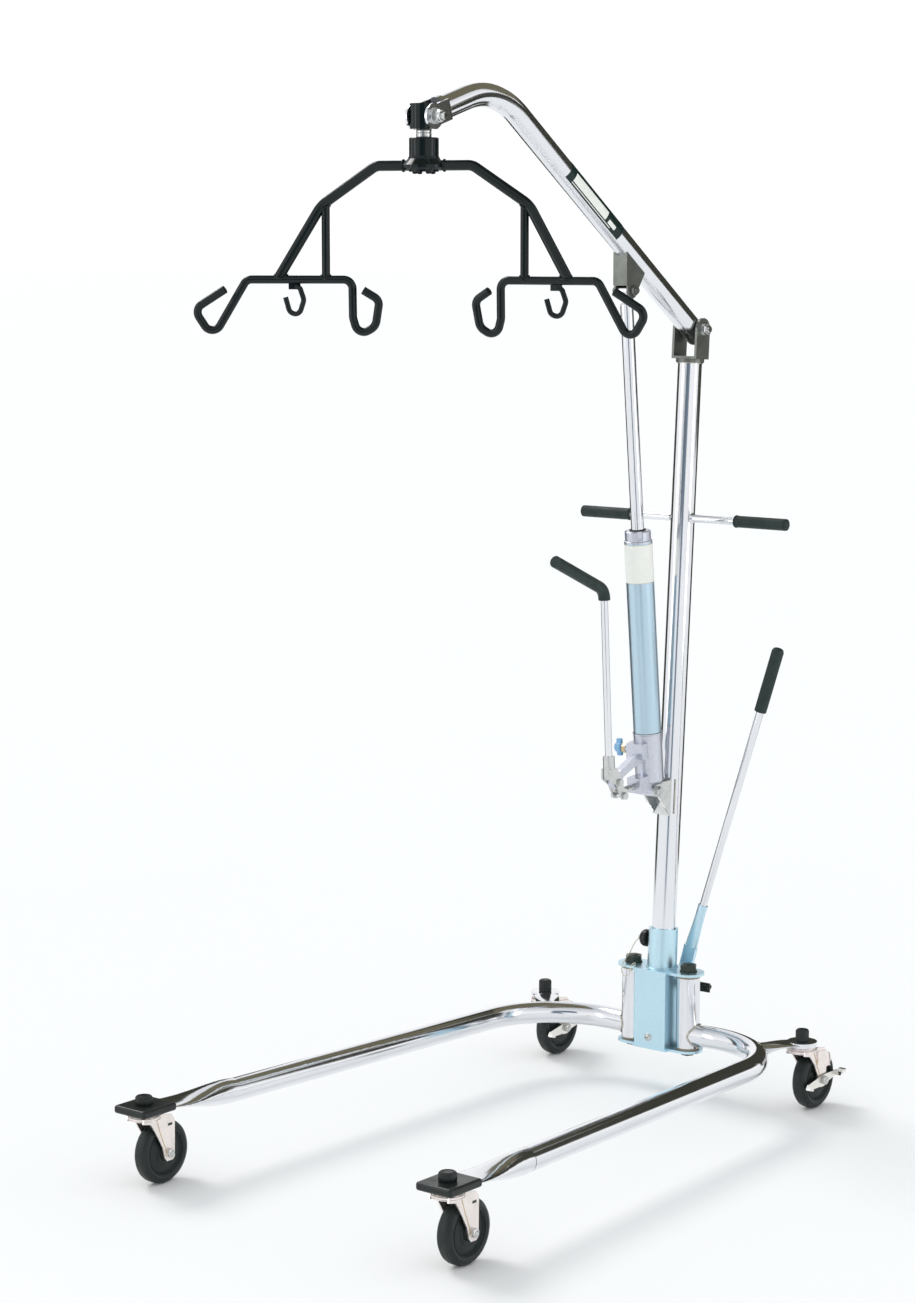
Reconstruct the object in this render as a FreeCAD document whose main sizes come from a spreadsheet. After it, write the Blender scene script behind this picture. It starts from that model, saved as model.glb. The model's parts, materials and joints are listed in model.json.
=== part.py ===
import FreeCAD, Part
import math
import os
import Sketcher
from FreeCAD import Placement, Rotation, Vector

# Hydraulic sling lift: a C-shaped base on four casters, a leaning mast, a boom raised by a
# hand pump, and a six-hook sling cradle that swivels under the boom's tip.
# Millimetres, +Z up, front of the lift towards -Y, origin on the floor.

DIMENSIONS = {
    # where the mast stands behind and beside the origin, and how far it leans back
    "mast_back": 440.1, "mast_side": -9.089, "mast_lean": 3.63, "mast_diameter": 41.3, "mast_wall": 2.5,
    "mast_length": 1040.0, "fit_gap": 0.1, "socket_diameter": 50.8, "socket_height": 68.0,
    # base block
    "plate_top": 214.2, "plate_thick": 4.5, "plate_end": 27.5, "foot_top": 79.0,
    "foot_thick": 4.5, "foot_end": 26.0, "channel_width": 64.0, "channel_front": -36.0,
    "channel_back": 20.0, "channel_wall": 3.0, "pivot_spacing": 57.5, "pivot_back": -3.0,
    "mast_rear_edge": 27.0, "pivot_bolt": 16.0,
    "cap_diameter": 30.0, "cap_height": 12.5, "bolt_head": 24.0, "bolt_head_height": 6.5,
    # legs
    "sleeve_diameter": 41.0, "sleeve_bore": 35.0, "sleeve_bottom": 82.5, "sleeve_top": 205.0,
    "leg_diameter": 38.1, "leg_wall": 2.2, "leg_height": 104.0, "leg_front_height": 117.0,
    "leg_bend": 155.0, "front_x": 302.9, "front_y": -963.9, "rear_x": 271.8, "rear_y": 24.7,
    "leg_corner_x": 260.0, "leg_corner_y": 21.0, "flat_length": 150.0, "flat_width": 58.0,
    "flat_thick": 9.0, "flat_height": 127.5, "pad_width": 66.0, "pad_length": 74.0,
    "pad_thick": 13.0, "pad_round": 4.5, "rear_flat_top": 122.7, "rear_flat_thick": 8.0,
    "rear_flat_width": 50.0, "stem_diameter": 12.0, "front_cap": 26.0, "front_cap_height": 13.0,
    "rear_cap": 21.0, "rear_cap_height": 20.0,
    # casters
    "wheel_diameter": 101.6, "wheel_width": 27.0, "hub_width": 30.0, "caster_trail": 36.0,
    "race_diameter": 50.0, "race_height": 10.0, "cheek_gap": 32.0, "cheek_thick": 2.6,
    "axle_diameter": 9.0, "axle_head": 15.0,
    # handlebar
    "handlebar_height": 777.5, "handlebar_diameter": 13.5, "handlebar_half": 212.0,
    "grip_diameter": 20.0, "grip_length": 103.0,
    # mast clevis and boom
    "clevis_pivot": 1098.5, "clevis_gap": 41.6, "clevis_ear": 4.5, "clevis_width": 38.0,
    "clevis_base": 6.0, "pivot_pin": 12.7, "boom_diameter": 38.1, "boom_wall": 2.5,
    "boom_rise": 35.3, "boom_fall": 17.0, "boom_straight": 668.6, "boom_nose": 177.1,
    "boom_bend": 150.0, "boom_tail": 20.0, "ram_reach": 195.5, "ram_drop": 55.3,
    "bracket_width": 28.0, "bracket_sheet": 3.0, "tip_gap": 35.0, "tip_ear": 4.0,
    "tip_radius": 19.5, "tip_pin": 12.7,
    # swivel and cradle
    "cradle_turn": 20.0, "block_diameter": 42.0, "block_height": 38.0, "stud_diameter": 20.6,
    "hub_diameter": 45.0, "hub_top_drop": 31.5, "hub_bottom_drop": 62.0, "arm_drop": 73.0,
    "arm_diameter": 15.9, "arm_start": 23.5, "flange_diameter": 66.0, "flange_thick": 13.0, "bar_drop": 244.0,
    "bar_diameter": 12.7, "shoulder_x": 77.0, "elbow_x": 166.0, "elbow_drop": 132.0,
    "post_x": 159.0, "post_drop": 126.0, "strut_foot_x": 231.0, "hook_inner_x": 119.0,
    "hook_outer_x": 280.0, "bar_yaw": 0.2, "small_hook": 8.0, "small_hook_left": -207.0,
    "small_hook_right": 212.0,
    # pump
    "pump_foot_y": -40.0, "pump_foot_z": 531.0, "casting_diameter": 48.5, "casting_low": 14.0,
    "cylinder_diameter": 47.5, "cylinder_bore": 42.0, "cylinder_low": 102.0,
    "cylinder_high": 430.0, "gland_high": 450.0, "gland_diameter": 44.0, "rod_diameter": 22.0,
    "rod_low": 316.0, "rod_eye": 16.0, "foot_pin": 10.0, "lug_pin": 8.0,
    "handle_pivot_y": -100.0, "handle_pivot_z": 38.0, "handle_lean": 3.35, "lug_thick": 12.0,
    "handle_offset": -15.5, "handle_rod": 12.0, "handle_socket": 20.0, "plunger": 12.0,
    # shift lever
    "lever_side": 3.0, "lever_back": 40.0, "lever_low": 139.0, "lever_lean": 15.6,
    "lever_tilt": 3.63, "lever_knee": 108.0, "lever_rod": 13.0,
    "lever_socket": 17.0, "lever_flat": 8.0, "lever_pin": 10.0, "lever_grip": 21.0,
    # mast clamp knob and its bead chain
    "knob_height": 45.0, "knob_diameter": 30.0, "knob_thick": 19.0, "knob_screw": 8.0,
    "chain_diameter": 2.4,
}

doc = FreeCAD.newDocument("lift")
sheet = doc.addObject("Spreadsheet::Sheet", "dims")
for row, (alias, number) in enumerate(DIMENSIONS.items(), start=1):
    sheet.set("A%d" % row, alias)
    sheet.set("B%d" % row, str(number))
    sheet.setAlias("B%d" % row, alias)
doc.recompute()

AXES = {
    "z": Rotation(),
    "x": Rotation(Vector(0, 1, 0), 90),
    "-x": Rotation(Vector(0, 1, 0), -90),
    "y": Rotation(Vector(1, 0, 0), -90),
    "-y": Rotation(Vector(1, 0, 0), 90),
    "-z": Rotation(Vector(1, 0, 0), 180),
}
node_names = []


def size(alias):
    """A driving dimension, read back from the sheet."""
    return float(sheet.get(alias))


def cell(alias):
    return "dims." + alias


def at(frame, x=0.0, y=0.0, z=0.0, axis="z"):
    """A placement inside a frame, with local Z turned to the named axis."""
    return frame.multiply(Placement(Vector(x, y, z), AXES[axis]))


def bind(item, **expressions):
    for name, expression in expressions.items():
        item.setExpression(name, str(expression))


def node(item, label):
    """Marks a finished sub-part: its label is its file's name."""
    item.Label = label
    node_names.append(item.Name)
    return item


def cylinder(place, radius, height):
    item = doc.addObject("Part::Cylinder", "round")
    bind(item, Radius=radius, Height=height)
    item.Placement = place
    return item


def block(place, length, width, height):
    """A box centred on the placement in X and Y, and standing on it."""
    item = doc.addObject("Part::Box", "block")
    bind(item, Length=length, Width=width, Height=height)
    doc.recompute([item])
    item.Placement = place.multiply(
        Placement(Vector(-item.Length.Value / 2, -item.Width.Value / 2, 0), Rotation())
    )
    return item


def hexagon(place, across_corners, height):
    item = doc.addObject("Part::Prism", "hex")
    item.Polygon = 6
    bind(item, Circumradius="(%s) / 2" % across_corners, Height=height)
    item.Placement = place
    return item


def cone(place, low_radius, high_radius, height):
    item = doc.addObject("Part::Cone", "cone")
    bind(item, Radius1=low_radius, Radius2=high_radius, Height=height)
    item.Placement = place
    return item


def ball(place, radius):
    item = doc.addObject("Part::Sphere", "ball")
    bind(item, Radius=radius)
    item.Placement = place
    return item


def fuse(*items):
    item = doc.addObject("Part::MultiFuse", "joined")
    item.Shapes = list(items)
    item.Refine = True
    return item


def cut(base, *tools):
    item = doc.addObject("Part::Cut", "cut")
    item.Base = base
    item.Tool = tools[0] if len(tools) == 1 else fuse(*tools)
    return item


def common(first, second):
    item = doc.addObject("Part::Common", "common")
    item.Base = first
    item.Tool = second
    return item


def group(*items):
    item = doc.addObject("Part::Compound", "group")
    item.Links = list(items)
    return item


def rounded(item, radius):
    """Every edge of a box-like solid rounded."""
    doc.recompute([item])
    result = doc.addObject("Part::Fillet", "rounded")
    result.Base = item
    result.Edges = [(i + 1, radius, radius) for i in range(len(item.Shape.Edges))]
    return result


def polygon_plate(place, outline, thickness):
    """A flat plate: the outline's (y, z) points in the frame, extruded both ways in X."""
    face = doc.addObject("Part::Feature", "outline")
    points = [Vector(-thickness / 2, y, z) for y, z in outline]
    face.Shape = Part.Face(Part.makePolygon(points + points[:1]))
    face.Placement = place
    item = doc.addObject("Part::Extrusion", "plate")
    item.Base = face
    item.DirMode = "Custom"
    item.Dir = place.Rotation.multVec(Vector(1, 0, 0))
    item.LengthFwd = thickness
    item.Solid = True
    return item


def turned(place, outline, name):
    """A lathe-turned body: (radius, height) expressions, revolved about local Z."""
    body = doc.addObject("PartDesign::Body", name)
    sketch = body.newObject("Sketcher::SketchObject", name + "_profile")
    plane = [f for f in body.Origin.OriginFeatures if f.Role == "XZ_Plane"][0]
    sketch.AttachmentSupport = [(plane, "")]
    sketch.MapMode = "FlatFace"
    values = [(evaluate(r), evaluate(z)) for r, z in outline]
    count = len(outline)
    for i in range(count):
        start = Vector(values[i][0], values[i][1], 0)
        end = Vector(values[(i + 1) % count][0], values[(i + 1) % count][1], 0)
        sketch.addGeometry(Part.LineSegment(start, end), False)
    for i in range(count):
        sketch.addConstraint(Sketcher.Constraint("Coincident", i, 2, (i + 1) % count, 1))
    for i, (radius, height) in enumerate(outline):
        for kind, origin_line, expression, number in (
            ("DistanceX", -2, radius, values[i][0]),
            ("DistanceY", -1, height, values[i][1]),
        ):
            if abs(number) < 1e-9:
                sketch.addConstraint(Sketcher.Constraint("PointOnObject", i, 1, origin_line))
            else:
                index = sketch.addConstraint(Sketcher.Constraint(kind, -1, 1, i, 1, number))
                sketch.setExpression("Constraints[%d]" % index, str(expression))
    turn = body.newObject("PartDesign::Revolution", name + "_turn")
    turn.Profile = sketch
    turn.ReferenceAxis = (sketch, ["V_Axis"])
    turn.Angle = 360.0
    body.Tip = turn
    body.Placement = place
    return body


def evaluate(expression):
    """The number that an expression over the sheet's cells stands for."""
    text = str(expression)
    for alias in sorted(DIMENSIONS, key=len, reverse=True):
        text = text.replace("dims." + alias, repr(size(alias)))
    total = FreeCAD.Units.Quantity(text)
    return total.Value


def path(points, radii):
    """Straight runs joined by tangent arcs; radii holds one bend radius per inner point."""
    edges = []
    start = points[0]
    for i in range(1, len(points) - 1):
        before = (points[i - 1] - points[i]).normalize()
        after = (points[i + 1] - points[i]).normalize()
        turn = math.pi - before.getAngle(after)
        reach = radii[i - 1] * math.tan(turn / 2)
        first = points[i] + before * reach
        last = points[i] + after * reach
        middle_way = (before + after).normalize()
        middle = points[i] + middle_way * (radii[i - 1] / math.cos(turn / 2) - radii[i - 1])
        if (first - start).Length > 1e-6:
            edges.append(Part.LineSegment(start, first).toShape())
        edges.append(Part.Arc(first, middle, last).toShape())
        start = last
    if (points[-1] - start).Length > 1e-6:
        edges.append(Part.LineSegment(start, points[-1]).toShape())
    return Part.Wire(edges)


def swept(points, radii, radius):
    """A round bar along a bent path."""
    spine = doc.addObject("Part::Feature", "spine")
    spine.Shape = path(points, radii)
    circle = doc.addObject("Part::Circle", "section")
    bind(circle, Radius=radius)
    start = (points[1] - points[0]).normalize()
    circle.Placement = Placement(points[0], Rotation(Vector(0, 0, 1), start))
    item = doc.addObject("Part::Sweep", "bar")
    item.Sections = [circle]
    item.Spine = (spine, ["Edge%d" % (i + 1) for i in range(len(spine.Shape.Edges))])
    item.Solid = True
    item.Frenet = False
    return item


def loft(sections):
    """A smooth solid through ellipses: (placement, half width in X, half height in Y)."""
    rings = []
    for place, half_width, half_height in sections:
        ring = doc.addObject("Part::Feature", "ring")
        outline = Part.Ellipse(Vector(0, 0, 0), max(half_width, half_height + 0.001), half_height)
        ring.Shape = Part.Wire(outline.toShape())
        ring.Placement = place
        rings.append(ring)
    item = doc.addObject("Part::Loft", "loft")
    item.Sections = rings
    item.Solid = True
    return item


def slot_plate(z, end, thickness):
    """A plate with two round ends, centred on the leg pivots."""
    spacing = size("pivot_spacing")
    back = size("pivot_back")
    ends = [
        cylinder(at(WORLD, side * spacing, back, z), end, thickness) for side in (-1, 1)
    ]
    middle = block(at(WORLD, 0, back, z), "2 * dims.pivot_spacing", "2 * " + end, thickness)
    tongue = block(
        at(WORLD, 0, (size("channel_front") + size("mast_rear_edge")) / 2 - 0.5, z),
        "dims.channel_width + 5", "dims.mast_rear_edge - dims.channel_front + 1", thickness,
    )
    return fuse(middle, tongue, *ends)


# Frames: each one is where a group of pieces stands and how it is turned.
WORLD = Placement(Vector(size("mast_side"), size("mast_back"), 0), Rotation())
MAST = at(WORLD, 0, 0, size("plate_top")).multiply(
    Placement(Vector(), Rotation(Vector(1, 0, 0), -size("mast_lean")))
)
BOOM = Placement(
    MAST.multVec(Vector(0, 0, size("clevis_pivot"))),
    Rotation(Vector(1, 0, 0), -size("boom_rise")),
)
boom_turn = math.radians(size("boom_rise") + size("boom_fall"))
boom_corner = Vector(0, -size("boom_straight"), 0)
nose_way = Vector(0, -math.cos(boom_turn), -math.sin(boom_turn))
boom_tip = boom_corner + nose_way * size("boom_nose")
TIP = Placement(BOOM.multVec(boom_tip), Rotation(Vector(1, 0, 0), size("boom_fall")))
SWIVEL = Placement(TIP.Base, Rotation())
CRADLE = Placement(TIP.Base, Rotation(Vector(0, 0, 1), size("cradle_turn")))
pump_foot = WORLD.multVec(Vector(0, size("pump_foot_y"), size("pump_foot_z")))
ram_top = BOOM.multVec(Vector(0, -size("ram_reach"), -size("ram_drop")))
pump_way = ram_top - pump_foot
PUMP = Placement(pump_foot, Rotation(Vector(0, 0, 1), pump_way))
HANDLE = Placement(
    PUMP.multVec(Vector(0, size("handle_pivot_y"), size("handle_pivot_z"))),
    Rotation(Vector(1, 0, 0), size("handle_lean")),
)
LEVER = at(WORLD, size("lever_side"), size("lever_back"), size("lever_low")).multiply(
    Placement(Vector(), Rotation(Vector(0, 1, 0), size("lever_lean")))
)
LEVER_TOP = at(LEVER, 0, 0, size("lever_knee")).multiply(
    Placement(Vector(), Rotation(Vector(1, 0, 0), -size("lever_tilt")))
)


def make_base():
    spacing = size("pivot_spacing")
    back = size("pivot_back")
    foot = size("foot_top") - size("foot_thick")
    front = size("channel_front")
    rear = size("channel_back")
    middle = (front + rear) / 2
    shell = block(
        at(WORLD, 0, middle, size("foot_top")), cell("channel_width"),
        "dims.channel_back - dims.channel_front", "dims.plate_top - dims.plate_thick - dims.foot_top",
    )
    hollow = block(
        at(WORLD, 0, middle, size("foot_top")), "dims.channel_width - 2 * dims.channel_wall",
        "dims.channel_back - dims.channel_front - 2 * dims.channel_wall",
        "dims.plate_top - dims.plate_thick - dims.foot_top",
    )
    rivet = cylinder(at(WORLD, -3, front + 2, 95, "-y"), "5.5", "4")
    lever_x = size("lever_side")
    lever_hole = cylinder(
        at(WORLD, lever_x, 0, size("lever_low"), "y"), "dims.lever_pin / 2", "40"
    )
    node(cut(fuse(cut(shell, hollow), rivet), lever_hole), "base_channel")

    bolt_holes = [
        cylinder(at(WORLD, side * spacing, back, 0), "dims.pivot_bolt / 2", "300")
        for side in (-1, 1)
    ]
    top = slot_plate(size("plate_top") - size("plate_thick"), cell("plate_end"), cell("plate_thick"))
    bottom = slot_plate(foot, cell("foot_end"), cell("foot_thick"))
    node(group(cut(top, *bolt_holes), cut(bottom, *bolt_holes)), "base_plates")

    wall = cylinder(at(MAST, 0, 0, -4), "dims.socket_diameter / 2", "dims.socket_height + 4")
    bore = cylinder(
        at(MAST, 0, 0, -4), "dims.mast_diameter / 2 + dims.fit_gap", "dims.socket_height + 8"
    )
    under = block(at(WORLD, 0, 0, size("plate_top") - 20), "100", "100", "20")
    knob_hole = cylinder(at(MAST, 0, 0, size("knob_height"), "-x"), "dims.knob_screw / 2", "40")
    node(cut(wall, bore, under, knob_hole), "mast_socket")

    bolts = []
    caps = []
    for side in (-1, 1):
        low = foot - size("bolt_head_height")
        head = hexagon(at(WORLD, side * spacing, back, low), cell("bolt_head"), cell("bolt_head_height"))
        shank = cylinder(
            at(WORLD, side * spacing, back, foot), "dims.pivot_bolt / 2",
            "dims.plate_top - dims.foot_top + dims.foot_thick + 6",
        )
        bolts.append(fuse(head, shank))
        washer = cylinder(at(WORLD, side * spacing, back, size("plate_top")), "dims.cap_diameter / 2", "2")
        nut = hexagon(
            at(WORLD, side * spacing, back, size("plate_top") + 2), cell("cap_diameter"),
            "dims.cap_height - 2",
        )
        bevel = cone(
            at(WORLD, side * spacing, back, size("plate_top")), "dims.cap_diameter / 2 + 4",
            "dims.cap_diameter / 2 - 1.5", "dims.cap_height + 2",
        )
        caps.append(cut(common(fuse(washer, nut), bevel), shank))
    node(group(*bolts, *caps), "leg_pivot_bolts")

    post = cylinder(
        at(WORLD, lever_x, rear - 6, size("lever_low"), "y"), "dims.lever_pin / 2",
        "dims.lever_back - dims.channel_back + 18",
    )
    head = hexagon(
        at(WORLD, lever_x, size("lever_back") + 4.5, size("lever_low"), "y"), "18", "7"
    )
    collar = cylinder(
        at(WORLD, lever_x, rear + 3, size("lever_low"), "y"), "9",
        "dims.lever_back - dims.channel_back - 7.5",
    )

    strap = block(at(WORLD, 0, 50, 168), "132", "3", "16")
    arms = [block(at(WORLD, side * 30.5, (rear + 49) / 2, 168), "3", "49 - dims.channel_back", "16")
            for side in (-1, 1)]
    studs = [
        fuse(
            cylinder(at(WORLD, side * 60, 44, 176, "y"), "3.5", "16"),
            hexagon(at(WORLD, side * 60, 51.5, 176, "y"), "12", "5"),
            hexagon(at(WORLD, side * 60, 43, 176, "y"), "12", "5.5"),
        )
        for side in (-1, 1)
    ]
    node(group(fuse(strap, *arms, *studs), fuse(post, head, collar)), "lever_mount")


def leg_points(side, height):
    """Pivot, rounded corner and front end of a leg's centre line."""
    start = Vector(side * size("pivot_spacing"), size("pivot_back"), height)
    corner = Vector(side * size("leg_corner_x"), size("leg_corner_y"), height)
    front = Vector(side * size("front_x"), size("front_y"), size("leg_front_height"))
    flat = front + (corner - front).normalize() * (size("flat_length") + 45)
    return [WORLD.multVec(p) for p in (start, corner, flat, front)]


def make_leg(side, name):
    start, corner, flat, front = leg_points(side, size("leg_height"))
    outer = swept([start, corner, flat], [size("leg_bend")], "dims.leg_diameter / 2")
    inner = swept([start, corner, flat], [size("leg_bend")], "dims.leg_diameter / 2 - dims.leg_wall")
    sleeve_space = cylinder(
        at(WORLD, side * size("pivot_spacing"), size("pivot_back"), 0),
        "dims.sleeve_diameter / 2", "300",
    )
    run = (front - corner).normalize()
    turn = Rotation(Vector(0, 0, 1), run)
    flat_end = Vector(front.x, front.y, size("flat_height"))
    level = Rotation(Vector(1, 0, 0), 90)
    mouth = flat + run * 0.5
    squeeze = loft([
        (Placement(mouth, level), size("leg_diameter") / 2, size("leg_diameter") / 2),
        (Placement(flat * 0.55 + flat_end * 0.45 + Vector(0, 0, -1), level), 25.0, 12.5),
        (Placement(flat * 0.25 + flat_end * 0.75, level), size("flat_width") / 2, size("flat_thick") / 2),
        (Placement(flat_end + Vector(0, 22, 0), level), size("flat_width") / 2 - 1.2,
         size("flat_thick") / 2 - 0.5),
    ])
    tongue = flat_bar(Placement(flat_end, level), -30, 60, 0.0)
    stem_hole = cylinder(
        at(WORLD, side * size("front_x"), size("front_y"), 60), "dims.stem_diameter / 2", "120"
    )
    tube = cut(outer, inner, sleeve_space)
    node(fuse(tube, squeeze, cut(tongue, stem_hole)), "leg_tube_" + name)

    sleeve = cylinder(
        at(WORLD, side * size("pivot_spacing"), size("pivot_back"), size("sleeve_bottom")),
        "dims.sleeve_diameter / 2", "dims.sleeve_top - dims.sleeve_bottom",
    )
    sleeve_bore = cylinder(
        at(WORLD, side * size("pivot_spacing"), size("pivot_back"), 0), "dims.sleeve_bore / 2", "300"
    )
    node(cut(sleeve, sleeve_bore), "leg_sleeve_" + name)

    bushes = []
    low = size("foot_top") + 0.4
    high = size("plate_top") - size("plate_thick") - 0.4
    for z, flange, tail, axis in (
        (low, size("sleeve_bottom") - low, 20.0, "z"),
        (high, high - size("sleeve_top"), 20.0, "-z"),
    ):
        place = at(WORLD, side * size("pivot_spacing"), size("pivot_back"), z, axis)
        bushes.append(turned(place, [
            ("dims.pivot_bolt / 2 + 0.05", "0"),
            ("dims.sleeve_diameter / 2 - 1", "0"),
            ("dims.sleeve_diameter / 2 - 1", "%.4f" % flange),
            ("dims.sleeve_bore / 2", "%.4f" % flange),
            ("dims.sleeve_bore / 2", "%.4f" % (flange + tail)),
            ("dims.pivot_bolt / 2 + 0.05", "%.4f" % (flange + tail)),
        ], "bush"))
    node(group(*bushes), "leg_bushes_" + name)

    # rear caster arm: a tube stub on the outside of the bend, flattened round the caster's stem
    rear = WORLD.multVec(Vector(side * size("rear_x"), size("rear_y"), 0))
    middle = size("rear_flat_top") - size("rear_flat_thick") / 2
    turn_centre = bend_centre(start, corner, flat)
    out = Vector(rear.x - turn_centre.x, rear.y - turn_centre.y, 0)
    reach = out.Length
    out.normalize()
    across = Vector(-out.y, out.x, 0) * side
    upright = Rotation(across, Vector(0, 0, 1), out, "ZXY")
    bend = size("leg_bend")
    half_width = size("rear_flat_width") / 2
    half_thick = size("rear_flat_thick") / 2
    sections = []
    for distance, z, wide, high in (
        (bend + 2, 107.0, 17.0, 15.0),
        (bend + 20, 112.5, 19.0, 9.5),
        (reach - 36, middle - 0.5, 22.0, half_thick + 0.5),
        (reach - 16, middle, half_width - 2.5, half_thick),
        (reach - 4, middle, half_width - 1.0, half_thick - 0.5),
    ):
        centre = turn_centre + out * distance
        sections.append((Placement(Vector(centre.x, centre.y, z), upright), wide, high))
    stub = loft(sections)
    paddle = cylinder(
        Placement(Vector(rear.x, rear.y, middle - size("rear_flat_thick") / 2), Rotation()),
        "dims.rear_flat_width / 2", cell("rear_flat_thick"),
    )
    rear_hole = cylinder(Placement(Vector(rear.x, rear.y, 60), Rotation()), "dims.stem_diameter / 2", "120")
    tube_space = swept([start, corner, flat], [bend], "dims.leg_diameter / 2")
    race_space = cylinder(
        Placement(Vector(rear.x, rear.y, 60), Rotation()), "dims.race_diameter / 2 + 2",
        "dims.rear_flat_top - dims.rear_flat_thick - 60",
    )
    arm = fuse(stub, paddle)
    arm.Refine = False
    node(cut(arm, tube_space, rear_hole, race_space), "rear_caster_arm_" + name)

    pad_low = size("flat_height") - size("pad_thick") / 2
    pad_block = block(
        at(WORLD, side * size("front_x"), size("front_y") + 3, pad_low),
        cell("pad_width"), cell("pad_length"), cell("pad_thick"),
    )
    pad = rounded(pad_block, size("pad_round"))
    slot = flat_bar(Placement(flat_end, level), -30, 60, 0.0)
    mouth_space = flat_bar(Placement(flat_end, level), -60, 39, 1.5)
    node(cut(cut(cut(pad, slot), mouth_space), stem_hole), "front_pad_" + name)

    stems = []
    for x, y, under, top, cap, cap_height in (
        ("front_x", "front_y", pad_low, pad_low + size("pad_thick"), "front_cap",
         "front_cap_height"),
        ("rear_x", "rear_y", size("rear_flat_top") - size("rear_flat_thick"),
         size("rear_flat_top"), "rear_cap", "rear_cap_height"),
    ):
        low = under - size("race_height") - 3.5
        shank = cylinder(
            at(WORLD, side * size(x), size(y), low), "dims.stem_diameter / 2", "%.4f" % (top + 4 - low)
        )
        head = cylinder(at(WORLD, side * size(x), size(y), low - 0.3), "10", "2.4")
        place = at(WORLD, side * size(x), size(y), top)
        crown = turned(place, [
            ("0", "0"), ("dims.%s / 2 - 0.8" % cap, "0"), ("dims.%s / 2" % cap, "1.2"),
            ("dims.%s / 2" % cap, "dims.%s - 2" % cap_height),
            ("dims.%s / 2 - 2" % cap, cell(cap_height)), ("0", cell(cap_height)),
        ], "crown")
        stems.append(fuse(shank, head, crown))
    node(group(*stems), "caster_stems_" + name)


def flat_bar(place, start, length, margin):
    """A bar with rounded sides along local Z: the flattened end of a leg's tube."""
    half = size("flat_width") / 2 - size("flat_thick") / 2
    high = size("flat_thick") + 2 * margin
    pieces = [block(at(place, 0, 0, start), "%.4f" % (2 * half), "%.4f" % high, "%.4f" % length)]
    for side in (-1, 1):
        pieces.append(cylinder(at(place, side * half, 0, start), "%.4f" % (high / 2), "%.4f" % length))
    return fuse(*pieces)


def bend_centre(start, corner, end):
    """Centre of the tangent arc that rounds a leg's corner."""
    before = (start - corner).normalize()
    after = (end - corner).normalize()
    turn = math.pi - before.getAngle(after)
    middle_way = (before + after).normalize()
    return corner + middle_way * (size("leg_bend") / math.cos(turn / 2))


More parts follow.
